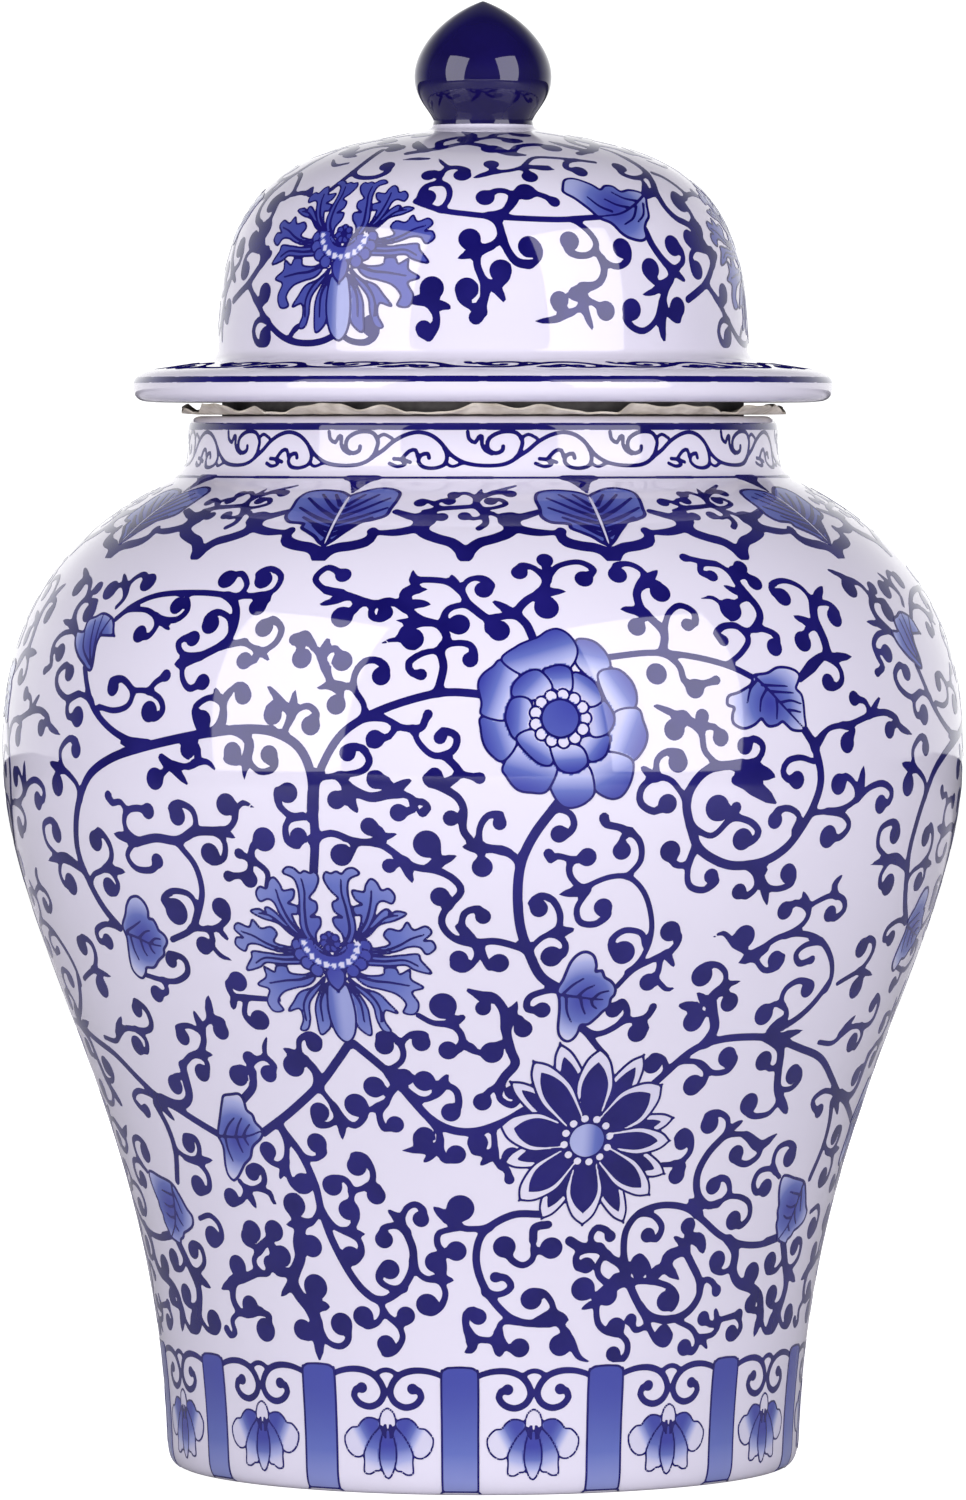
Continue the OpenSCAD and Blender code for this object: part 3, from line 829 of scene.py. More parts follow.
    (1.9, 8.5, 215, 10, 217.5, 12.8, 218.3, 14.5, 216.5, 13, 214.5),
    (2.0, 20.6, 213, 21.2, 216, 19.7, 217.8, 17.7, 217.5, 17.6, 215.4),
    (1.9, 20.3, 206.5, 18.8, 203.5),
    (2.2, 20.8, 213, 22.9, 213.3, 22.8, 211.3),
    (1.4, 22.3, 202.5, 23.2, 206.3, 25, 208.3, 26.7, 206.8, 26.6, 204.3, 25.5, 203.9),
    # around the lobed leaf
    (1.2, 30.3, 195, 32.3, 197.5, 33.6, 200.5, 32.5, 203.3, 30.5, 203.5, 29.2, 201.8, 30, 200.2),
    (1.9, 33.3, 202.3, 36, 202.7, 38, 201, 37.2, 198.5),
    (2.5, 35, 209.8, 33.5, 209, 32.1, 207.3),
    (1.1, 34.3, 215, 33, 217.3, 30.5, 218.3, 28, 219.2),
    (1.4, 32.5, 217.8, 30.3, 217.7, 29.6, 215.7, 31, 215),
    (1.6, 34.9, 215, 36.2, 217),
    (1.8, 35.2, 214.6, 36.8, 214.8, 37.3, 213.3),
    (1.8, 44.5, 195.8, 46, 193.5, 46, 190.3, 44.5, 188.9, 44, 190.2),
    (2.2, 44.2, 203, 42.7, 202.3, 41.6, 199.7),
    (2.1, 45, 209, 44, 212.3, 42, 213.7, 40, 212.8, 39.7, 210.8, 40.8, 210),
    (2.1, 45, 208.3, 47.3, 208.3, 48.2, 206.3, 47.4, 205),
    (2.3, 56, 209, 55, 212.3, 53.4, 213.5, 52.4, 211.7),
    (1.6, 56.3, 210, 57.2, 211.6),
    (2.3, 56.5, 208.7, 58.5, 208.3, 58, 206),
    (0.8, 56.5, 201.5, 54, 200.8, 52.6, 198.5, 52.8, 195.5, 53.3, 193.3, 52, 192),
    (2.0, 53, 197, 54.7, 196.4),
    (2.2, 20.6, 193.6, 20.6, 192.8),
    (2.0, 22, 197.3, 23.6, 194.5, 24, 191.3, 25.3, 189.3),
    (0.9, 24.7, 190, 27, 190.6, 28.2, 191.2),
    (2.2, 25.4, 180.8, 23.5, 183, 22.4, 180),
    (1.5, 25.8, 180, 26, 183),
    (1.8, 26, 180.3, 27.5, 180.5, 28.3, 178),
    (1.6, 28, 171.5, 26.2, 175, 25.7, 179.5, 23.5, 182.7),
    (1.8, 31, 171.7, 33.4, 173, 34, 176, 32.7, 177.6, 31.5, 176),
    (1.9, 41.2, 172, 39.5, 173, 37.6, 172.3, 36.9, 170, 37.5, 168.2, 39, 167.8),
    (1.8, 39, 156, 39.7, 159.3, 38, 161.3, 36.3, 160.7, 36.1, 158.6),
    (2.0, 41.5, 160, 45.5, 160.7, 47.7, 162.8, 49.6, 165.4, 51.8, 166.2, 53.5, 164.3, 53.2, 161.8,
     51.7, 161.3),
    (2.2, 47.8, 162.8, 47.2, 166.3, 45.7, 168.3, 44.8, 166.5),
    (2.4, 43.5, 160.3, 46, 159, 46.9, 156.5, 45.7, 154, 44, 154.3),
    (1.8, 41.6, 175.8, 43.5, 179.5, 46.8, 180.5, 50, 182.3, 52.6, 182.7, 54.5, 180.8, 53, 178.6),
    (2.1, 45.5, 180.2, 47, 178.8, 46, 176),
    (1.6, 49.7, 182.3, 49.3, 185.3, 47.5, 186.3),
    (2.0, 24, 163.5, 22, 168.3, 20, 169, 18.4, 166.7, 18.3, 163.3, 20, 161.3, 21.6, 163),
    (2.1, 20.3, 169, 20.2, 173, 21.5, 175, 23.2, 174.5, 22.8, 172.5),
    (2.7, 29.5, 160.3, 28, 161.8),
    (1.2, 30, 160, 30.5, 161.8),
    (2.3, 24.6, 158, 27.5, 155.4, 30, 159.2, 32.5, 158.5, 33.9, 156, 33, 153.8, 31.7, 154.4),
    (2.2, 25.2, 151.5, 24.6, 148.9, 23, 149, 22.3, 152),
    (1.6, 25.3, 152.5, 24.8, 147.5, 25.3, 143.8, 27.3, 142.8, 28.8, 144.8, 28, 146),
    (1.7, 33, 148.3, 34.3, 145.7, 34.6, 143, 33.3, 141, 32.2, 142.2),
    (2.0, 34.7, 146, 36, 143.3, 38, 142.5, 40, 143.7, 40, 146.2, 39.1, 146.2),
    # right of the butterfly leaf
    (2.2, 18.5, 124, 22, 127, 24.2, 129, 24.8, 132, 23.5, 133.3),
    (1.9, 22.7, 127, 22.6, 123.5, 21.5, 121.4),
    (1.7, 13, 110.8, 15.5, 109.4, 18, 111.3, 19.2, 114, 18.3, 116.9, 17.2, 115),
    (0.7, 18.7, 112.5, 21, 112.6, 22.2, 113.5, 22.7, 115.5),
    (2.1, 21.5, 112.3, 22.2, 110.5, 21, 109.5),
    (2.0, 40.8, 131.3, 43, 134.3, 43.1, 137.5, 41, 139, 39.8, 137.3),
    (1.8, 43.2, 138.3, 46, 140.3, 48.2, 139.3, 48.8, 136.7, 47.5, 134.8, 46.6, 136),
    (1.9, 36.7, 126, 38.7, 123.3, 40.7, 124, 41, 126.3, 40, 125.8),
    (0.9, 46.3, 129.3, 44, 128.8, 42.9, 126.8, 43.8, 124.5, 45.6, 125.2),
    (2.6, 33, 129.8, 34.2, 131.4),
    (2.0, 43.8, 110.5, 43.9, 113, 42.6, 115.5, 42.7, 118.5, 44.3, 120.3, 46, 119.8, 46.3, 118.3),
    (2.4, 43, 114.5, 41.5, 115, 40.4, 112.7),
    (2.4, 32.8, 119.8, 32.5, 123, 31, 125, 29.2, 125, 28.2, 123, 29, 122.6),
    (2.1, 31.7, 118, 33.3, 118.3, 34.1, 116),
    (2.3, 31, 113.8, 29, 111.8),
    (2.2, 45.2, 100, 43.7, 99.5, 42.3, 101.5),
    (2.2, 46.3, 94.4, 48.5, 94.2, 49.8, 96.2, 49.3, 98.4, 48.2, 97.8),
    (2.4, 47, 91.5, 45.7, 88.7, 43.3, 88.2, 41.8, 89.3, 41.7, 91.3),
    (2.0, 26.3, 100.3, 25.5, 103, 23.9, 103.8, 23.9, 101.8),
    (2.3, 28.5, 102.3, 31, 102, 32.8, 99.8, 32.5, 96.5, 31, 96.5),
    (2.2, 31.5, 101.5, 34, 99.3, 36.5, 99.7, 37.3, 102.5, 35.8, 103),
    # below and right of the daisy
    (2.2, 39, 84.8, 38.5, 88, 36.3, 89.7, 34.5, 89, 35.3, 87),
    (1.9, 40, 67.6, 41.7, 69.8, 41, 73, 39.3, 73.8, 38.4, 72),
    (2.0, 39, 84, 42, 84, 44.5, 82, 45.8, 79, 44, 76.8, 42, 77.5, 41.5, 79.3),
    (2.1, 41.5, 69.3, 44, 68.8, 46, 67, 46.5, 63.8, 45, 61.8, 43.5, 63.3),
    (2.0, 51.3, 72.8, 49, 75, 46.6, 74.6, 46, 71.8, 47, 69.6, 48.7, 70.5),
    (2.2, 50, 74.3, 49, 77, 49.4, 80, 51.5, 80.9, 53.2, 79.3, 52.5, 77.4),
    (1.8, 28, 77.7, 31, 78, 32.7, 80.5, 32.4, 84, 31, 85.6, 30, 84, 31, 83),
    (1.9, 30.3, 78, 32, 77, 31, 75),
    (1.6, 25.5, 66.3, 28, 65.5, 29.7, 62.8, 29, 60, 27.3, 61),
    (1.8, 35, 57, 35, 60, 34.7, 62.7),
    (1.9, 28.7, 50.5, 27.8, 54, 26.2, 56, 25.3, 54.5, 26.5, 53),
    (1.4, 29, 50.5, 30, 52.3),
    (2.2, 25.2, 50, 29, 49.8, 32.5, 48.4, 34.3, 45.7, 33.5, 43.2, 32.2, 45),
    (1.3, 39, 47.7, 40, 49.5, 41.4, 48.7, 42.4, 46.6),
    (1.3, 28.5, 39, 26.7, 38.5, 25.7, 41),
    (1.9, 27.3, 44, 29.7, 38, 31.3, 35.3, 33, 34.8, 33.7, 36.8, 32.3, 37.2),
    (1.8, 35.3, 39.8, 38.3, 37.9, 39.8, 34.8, 38.8, 32.4, 37, 33.6),
    (1.6, 40.3, 35.8, 42.7, 36.2, 43.6, 38.4, 42, 38.7, 40.5, 40.2),
    (1.2, 43.5, 39.5, 46, 40, 47.8, 40.4),
    (1.8, 47.8, 40, 48.6, 37, 47.3, 35, 46.6, 36),
    (2.2, 45, 51.8, 43, 50.9, 41.2, 52, 41.7, 53.8),
    (2.4, 47.5, 48, 49.4, 50),
    (1.9, 53, 40.5, 51, 41, 50.2, 42.5),
    (2.0, 53.5, 38.5, 55, 35.6, 57.3, 35.3, 58.3, 37.2, 57.2, 37.6),
    (2.2, 12, 42.3, 11.5, 45.5, 10, 48, 8, 48.2, 8, 46.5),
    (2.3, 14.2, 38.5, 13.2, 35.5),
    (1.7, 5.5, 41.3, 3, 40.8, 2.4, 37.2, -1, 37.2, -2.7, 39.5, -2.8, 43, -1.6, 44, -0.8, 42.4),
    (2.0, 2.8, 36.8, 4.6, 34.8, 6.2, 35),
    (2.8, 1, 63.5, -3, 63.4, -4.3, 65.5, -3.5, 68.2),
    (2.1, -4.5, 63.3, -7, 62.2, -7.2, 59.3, -5.8, 57.3, -4.3, 58),
    (2.3, 8.1, 58.8, 8, 56, 6.5, 54.6, 4.7, 55.8, 3.4, 59),
    (2.3, 8.3, 58.3, 9.3, 57.8, 11, 58.6),
    (1.1, 0.2, 48, 3, 47.8, 4.6, 49.5, 3.7, 51.6, 2, 51.8),
    (1.9, -12, 62.5, -14, 63.8, -16, 63, -16, 60.5),
    (2.1, -13, 48.7, -15.8, 49.2, -17.3, 51, -16.8, 53.3, -15.4, 53.4),
    (1.7, -13, 65, -12, 68, -10.5, 69, -9.3, 67.5, -9.8, 65.5),
    (2.2, -11.4, 55.5, -10.5, 52.5, -8.8, 51.2, -6.8, 52.3, -6.5, 54.5, -7.7, 55.3),
    (2.3, -7, 51, -6.2, 48, -7, 44.8, -8.7, 43.3, -9.3, 45.2),
    (1.9, -17.4, 46, -16.6, 43, -14.6, 40.8, -13.2, 41, -13, 42.5),
    (2.2, -16.8, 43.3, -18, 40.7, -20, 39.8, -20.5, 42),
    (1.9, -14.5, 40.8, -13.7, 37.3, -15.2, 34, -17, 33.4, -16.7, 35.6),
    (2.1, -20.8, 71.7, -17.7, 73.3, -16.9, 76.3, -17.9, 80, -19.7, 80.3, -19.4, 77.8),
    (2.0, -18, 73, -16.3, 73, -16.7, 71),
    (2.2, -26, 66.5, -24, 63, -21.8, 62.5, -20.3, 65.5, -20.5, 67.8, -21.5, 67.3),
    (2.2, -21, 69, -20.6, 72, -21.5, 74.5, -23.5, 74.7, -23.8, 73),
    (2.1, -22, 61.8, -20.2, 60, -20, 57, -21.2, 55.5, -21.9, 56.3),
    (2.0, -7.5, 89, -6.3, 85.5, -6.8, 83, -9.5, 83, -9.7, 85.3, -8.6, 85.3),
    (2.0, -6.3, 84.5, -6, 80, -4.5, 79.8, -4, 81),
    (2.1, 1.5, 87, 1.7, 83, 1.2, 81.5, -1.3, 81.7, -0.8, 83.8),
    (1.0, 1.8, 82, 2.2, 79, 3.6, 77.2, 4, 75),
    (2.0, 2.7, 78.2, 4.3, 80.5),
    (1.3, 20.5, 56.8, 19.2, 55, 19.2, 52, 21, 50, 22.5, 50.8),
    (2.5, 20.5, 47.5, 18.5, 47.2, 16.7, 48.7),
    (1.7, 16.7, 58.3, 15.2, 56.5, 15.6, 53.8, 17, 54.3),
    (1.2, 18.2, 58.4, 17.4, 61, 18.3, 63.2, 20, 62.5, 20.7, 61),
    (2.0, 20, 47.8, 19.3, 44, 19.8, 40.3, 21.5, 38.4, 23, 39.4),
    (1.6, 22, 38.3, 24, 37.4, 25.4, 35.3, 25.2, 32.5, 23.8, 31.3, 22.8, 33),
    (2.2, 24.8, 50, 22, 48.5, 21, 47),
)

# Small pointed leaves on the vines: width, points with the tip last
LEAVES = (
    (1.8, -50.5, 211.5, -52.7, 215.2), (1.6, -43.2, 204.8, -41, 202.2), (1.4, -27.5, 198, -25.8, 195.5),
    (2.6, -36, 196.3, -39.4, 194.3), (2.2, -42, 176.5, -45.8, 176),
    (2.6, -40, 173, -38.5, 171, -36.1, 166.6), (1.6, -36, 171.3, -33.5, 172.3, -32, 169.8),
    (1.8, -31.8, 186, -33, 189.6), (1.8, -31.2, 186.5, -30.8, 189),
    (2.6, -32.7, 179.2, -31.5, 182, -31.5, 187), (2.4, -23.2, 180, -22.4, 184, -22.3, 189.6),
    (2.0, -22.7, 184, -26, 190.4), (2.4, -17.9, 191, -19.2, 196, -20.4, 199),
    (2.4, -19.2, 196.5, -18.7, 201.2), (2.0, -15.2, 189.8, -17.5, 190.4, -19.8, 189.3),
    (2.6, -29.8, 179.6, -27.8, 177, -28.3, 171, -28.5, 167.8), (2.4, -55.5, 169.2, -58.4, 170.6),
    (1.4, -29.8, 161, -28.7, 163, -27.2, 161.8), (1.6, -32, 156.3, -30, 154.8),
    (2.8, -44.3, 153.5, -47.6, 154.7), (3.0, -54, 145.5, -57.5, 148.2, -62, 147.2),
    (2.4, -50, 146.2, -46.7, 145.9), (1.6, -34.5, 133.3, -33.2, 130.5),
    (1.4, -36, 129.5, -35, 127, -33.3, 126), (1.8, -58.5, 121.8, -54.7, 120.3),
    (2.2, -58, 106.5, -55.3, 110.8), (2.0, -43, 103, -40.3, 103.2), (2.2, -41, 109, -41.6, 113.6),
    (2.6, -39.3, 111.5, -38.6, 117.5), (2.4, -53.5, 91.5, -50.5, 86.2),
    (1.4, -31.3, 103, -31.2, 105.5, -30.4, 108.2), (2.4, -25.3, 103, -28.3, 105.5),
    (2.2, -34.5, 116.8, -34.9, 114.3), (2.6, -21.8, 92, -21, 88, -21.2, 83.9),
    (1.8, -31.3, 78, -33, 73.8), (2.6, -28.5, 64, -33.1, 63.1), (2.6, -44.5, 49.2, -48.3, 46.3),
    (2.2, -33, 49.7, -36, 45.8), (3.0, -30, 44.2, -26.5, 44),
    (3.4, -29.3, 41.5, -29.2, 35, -29.3, 30.8), (2.6, -54.7, 49.6, -50.7, 46.2),
    (3.4, -54.8, 41, -58.2, 35), (2.2, -48.5, 77, -44.9, 77.6), (2.2, -39.8, 71, -38.5, 66.6),
    (1.6, -37, 71.2, -35.3, 70.5, -34.8, 68.3, -34, 68.2), (2.4, -2.6, 107.5, -0.4, 104.7),
    (2.2, -4.2, 112, -2.2, 114), (2.2, -14, 93, -16.6, 91), (2.4, -6.3, 96, -4.8, 100.2),
    (1.6, -0.4, 118.8, -2.3, 120.2), (2.6, 3, 111, 4.4, 117.3), (2.4, 8.5, 133.3, 11.3, 134.1),
    (2.4, -1.3, 132.5, -3.4, 135.2), (2.6, 12.5, 143.3, 9.1, 142.3), (2.6, 0.5, 153, -2.4, 153.4),
    (2.4, 0, 153.3, 3, 152, 4.4, 148.5), (2.4, -6.2, 149, -3, 151.4), (2.2, -9.4, 150, -8.2, 144.8),
    (1.8, -12.7, 154.7, -9.9, 156.4), (2.8, -15.6, 167, -15.3, 163.8, -14.4, 161),
    (2.4, -10.8, 166, -8, 169), (1.6, -7.5, 204.8, -10.6, 205),
    (1.2, -9.3, 200.7, -11, 200.6, -12.2, 199.7), (3.2, -9.6, 208, -9.5, 211.5, -7, 212.2),
    (2.4, -9.3, 209, -6.4, 208.8), (1.8, -8.5, 212.5, -9.2, 216.6), (2.0, -3.2, 212.5, -4.2, 215.6),
    (2.2, 4, 206.5, 1, 209.7), (2.2, 7, 211.5, 10.5, 211.7), (2.0, -17, 210.3, -20.8, 208.4),
    (1.6, -14.5, 209.3, -16.5, 207.7), (2.2, 20.2, 206.8, 16.9, 207.8), (2.6, 20.3, 212.8, 23.4, 216.4),
    (2.0, 34.7, 210.5, 32.2, 212.8), (1.2, 31.3, 208, 30, 210, 28.2, 209.9),
    (2.4, 44.8, 196, 48.3, 195.9), (2.4, 44.2, 203.3, 41.2, 205.6), (2.6, 45.2, 208.8, 47.7, 212.3),
    (3.2, 40.2, 191.2, 42.8, 195, 45, 197.3), (2.0, 54, 213, 50, 216.3), (1.8, 55.3, 203, 52.7, 203.9),
    (1.8, 23.5, 182.8, 19.6, 186), (2.4, 41.3, 175, 43, 179), (1.6, 50, 183, 52, 186.7),
    (2.0, 54.3, 181, 55.2, 179, 57.4, 177.3), (2.8, 48, 163.7, 48.5, 170.6),
    (2.2, 20, 168.8, 18.2, 171.8), (4.4, 30.5, 171.3, 33.3, 170, 35.9, 168.7),
    (4.2, 30.3, 168.2, 32.3, 167, 36.2, 162.4), (3.0, 33.5, 147.8, 36, 146.8),
    (2.4, 35.3, 145, 36.8, 138.7), (1.8, 23.3, 128.3, 24.9, 124.7),
    (1.4, 22.5, 122.3, 24.2, 119.6, 25.6, 120.2), (3.4, 38, 128.3, 34.2, 125.3),
    (1.8, 36, 127, 33, 129.8, 31, 132.5, 29.3, 131.3), (2.4, 43, 137.5, 41.8, 141.6),
    (2.2, 47, 140, 46.3, 142.8, 47.3, 145.3), (2.4, 44, 111.8, 41.5, 108.7),
    (1.4, 32.7, 120.2, 35.2, 120.9), (2.4, 31.5, 115, 28.7, 118.7),
    (3.2, 30, 112.5, 28.7, 115, 26.2, 115.8), (2.2, 43.5, 107, 47.6, 108.2), (2.8, 47, 92, 49.4, 88.1),
    (2.0, 39.2, 85.3, 41.4, 87.4), (3.0, 42.5, 83.7, 45.5, 81, 48.5, 83.6), (2.6, 36.8, 65.5, 34, 69.3),
    (1.8, 34.8, 58, 32.1, 60.5), (3.6, 35.3, 60, 37.5, 59, 38.8, 55.7),
    (3.6, 35, 57, 32, 55.7, 31.8, 53, 34.5, 49.8), (1.6, 40.5, 35.5, 41.9, 32.8),
    (1.8, 43.3, 39.5, 42.6, 42.5), (2.8, 53.3, 40, 52.2, 34.5), (4.2, 9.5, 41.3, 12, 42, 14.5, 41.3),
    (2.2, 12.5, 41.5, 15, 36.5, 16.5, 32.7, 18.7, 31.2), (3.4, 2.5, 38.5, 2.8, 32.8),
    (2.8, -2.5, 39, -1.8, 35.3, -3.2, 33.8), (3.0, -4, 64, -7.8, 68.5), (2.0, -13, 65, -15, 67.6),
    (2.2, -8, 51.3, -4.7, 51.1), (2.0, -22.5, 62.3, -19, 61.5), (2.2, -6.6, 82.3, -12, 81.8),
    (1.8, -7, 81.5, -9, 79), (2.2, 1.6, 81.3, -0.4, 78.4), (1.8, 19.3, 45.5, 16.6, 43.9),
)


def on_body(numbers):
    """The (angle, height) pairs of a stroke, with its edges drawn out to meet the next copy."""
    spots = pairs(numbers)
    edge = SHEET / 2
    laps = np.round(spots[:, 0] / SHEET)
    angle = spots[:, 0] - laps * SHEET
    knots = (-edge, -STRETCH_FROM, STRETCH_FROM, edge)
    spots[:, 0] = np.interp(angle, knots, (-SEAM, -STRETCH_FROM, STRETCH_FROM, SEAM)) + 2 * laps * SEAM
    return spots


vine_corners = body_skin.flat([(-SEAM, VINES_LOW), (SEAM, VINES_TOP)])
vines = Paint(body_skin, *vine_corners, VINE_CELL, copies=COPIES, ring=True)
for width, *points in VINES:
    vines.stroke(on_body(points), [(0, width), (1, width)])
for head, *points in BUDS:
    vines.bud(head, *on_body(points))
for width, *points in LEAVES:
    vines.leaf(width, *on_body(points))

vines.brushed("vine_scroll", "jar")

# ---------------------------------------------------------------- flowers and leaves

def body_motif(angle, height, *reach):
    """A motif on the body, round a spot of the sheet; reach is left, right, low and high."""
    return Motif(body_skin, on_body((angle, height))[0, 0], height, *reach, copies=COPIES)


# The peony, in the order it is painted. Each petal: dark spot, pale spot, outline
PEONY_PETALS = (
    ((4, 18), (2, 10), (-1, 12, -0.8, 17.5, 1.5, 18.2, 4.5, 17, 7, 13.5, 7, 10, 4.5, 7)),
    ((13, 7), (7, 3), (8, -0.7, 12, 1, 13.2, 4, 12, 8, 8.5, 10.8, 4, 9)),
    ((15, -6), (8, -3), (5, -9, 11, -10.7, 14, -8.5, 15.4, -5, 14.5, -1.5, 13, 1.5, 7, 0)),
    ((9, -19), (4, -10), (0, -12.5, 1.5, -15, 3.5, -17.7, 7, -19.2, 9.8, -18, 11.7, -14,
                          11.3, -10, 5, -8.5)),
    ((-3, -22), (-3, -12.5), (-8, -12, -7.7, -16, -5.5, -20, -2.8, -21.2, 0.8, -20, 2.8, -17,
                              0.5, -11)),
    ((-14, -18), (-11, -8), (-18.3, -11.5, -17.5, -14, -15.2, -16.8, -12, -17.6, -8, -17, -6, -10,
                             -14, -6)),
    ((-24, -6), (-15, -3), (-23, -0.3, -23.4, -3, -22.7, -6.5, -21, -9, -18.2, -10.4, -15, -6, -16, 0)),
    ((-24, 8), (-16, 5), (-18.5, 13, -20.5, 11.5, -23, 9.5, -24, 7, -23.2, 3, -23, 0, -17, -1,
                          -14, 4, -13, 10)),
    ((-8, 21), (-5, 11), (-9.7, 18.7, -7.5, 20.2, -5, 20.8, -2.5, 19.5, -0.8, 17, -0.5, 14.5,
                          -2, 11.5, -6, 8, -13, 9, -18.5, 13, -15, 16.3, -11.5, 18)),
    ((6, -9), (1, -5), (-0.7, -7, 0, -5, 6, -4.5, 6.2, -7, 4.8, -9.7, 1.5, -10.5)),
    ((8, 0), (2, -1), (1.5, 2, 1.8, -4.5, 5.5, -4.5, 7.4, -2, 7.3, 0.5, 5, 3.5)),
    ((4, 9), (0, 4), (-2.5, 5.3, -2, 9.7, 0.5, 9.5, 3.3, 7.5, 4.8, 4, 4, 2.5, 1.2, 2)),
    ((-5, 12), (-4.5, 5.5), (-8.8, 10.2, -7.5, 11.2, -5, 11.8, -2.8, 11.2, -2, 9.5, -2.5, 5.5,
                             -6.5, 6)),
    ((-14.5, 10), (-9, 4.5), (-13, 10, -9.5, 10.4, -6.8, 6.2, -11.5, 3.4, -15.8, 4, -16, 7)),
    ((-18, 0), (-11.5, -0.5), (-16, 4, -12, 3.4, -11.2, -3, -15.3, -5.5, -17.3, -2.5, -17.7, 0.5)),
    ((-13, -11), (-9, -5), (-15.3, -5.3, -11.5, -3.2, -7, -6, -6.8, -10.5, -8.5, -11.5, -11.5, -10)),
    ((-3, -13.5), (-3.5, -7), (-7, -6.5, -0.7, -7, 1.2, -10.5, -0.5, -12.6, -3, -13.2, -5.5, -12.3,
                               -7, -9.5)),
)
peony = body_motif(11.4, 183.5, -26, 17.5, -23, 23)
for dark, pale, petal_outline in PEONY_PETALS:
    peony.shape(petal_outline, dark, pale, tones=(0.0, 0.9))
PEONY_EYE = (-5.1, -0.7)
PEONY_BEADS = 13
for i in range(PEONY_BEADS):
    turn = math.radians(TURN * i / PEONY_BEADS)
    bead = (PEONY_EYE[0] + 5.8 * math.cos(turn), PEONY_EYE[1] + 5.4 * math.sin(turn))
    peony.shape(disc(*bead, 1.5), PEONY_EYE, reach=4, tones=(1, 1), line=0.5)
peony.shape(disc(*PEONY_EYE, 4.4), (PEONY_EYE[0] + 3, 3), reach=9, tones=(0.05, 0.2))
peony.piece("peony", "jar")

# The daisy: back petals, then front ones, as tip and width
DAISY_EYE = (-1.8, 4.3)
DAISY_PETALS = (
    ((-9.6, 27.3), 6.4), ((9, 24.3), 6.4), ((18.8, 9.2), 5.4), ((18.8, -4.6), 6.2),
    ((9.4, -16.6), 6.4), ((-11.4, -15.2), 6.4), ((-20.8, -1), 6.0), ((-19.8, 18.6), 5.6),
    ((-0.8, 26), 8.2), ((14.4, 17.2), 9.4), ((18.8, 3.6), 6.6), ((15.5, -9.8), 7.4),
    ((-1.2, -17), 9), ((-17, -10.4), 8.2), ((-21.8, 8), 9.2), ((-15, 23.3), 7.6),
)
daisy = body_motif(16.6, 80, -24, 21, -19, 29)
for tip, width in DAISY_PETALS:
    way = np.subtract(tip, DAISY_EYE)
    way = way / np.linalg.norm(way)
    base = DAISY_EYE + way * 4
    daisy.shape(petal(base, np.array(tip), width), DAISY_EYE, reach=30, tones=(0.98, 1), line=0.55)
    daisy.solid(petal(base, tip - way * 2.9, width - 2.2, 0.62))
daisy.solid(disc(*DAISY_EYE, 6.2))
DAISY_BEADS = 12
for i in range(DAISY_BEADS):
    turn = math.radians(TURN * i / DAISY_BEADS + 10)
    bead = (DAISY_EYE[0] + 5.4 * math.cos(turn), DAISY_EYE[1] + 5.4 * math.sin(turn))
    daisy.shape(disc(*bead, 0.9), DAISY_EYE, reach=4, tones=(1, 1), line=0)
daisy.shape(disc(*DAISY_EYE, 4.3), (DAISY_EYE[0] + 4, DAISY_EYE[1]), (DAISY_EYE[0] - 1.5, DAISY_EYE[1]),
            tones=(0.3, 0.8), line=0.5)
daisy.piece("daisy", "jar")

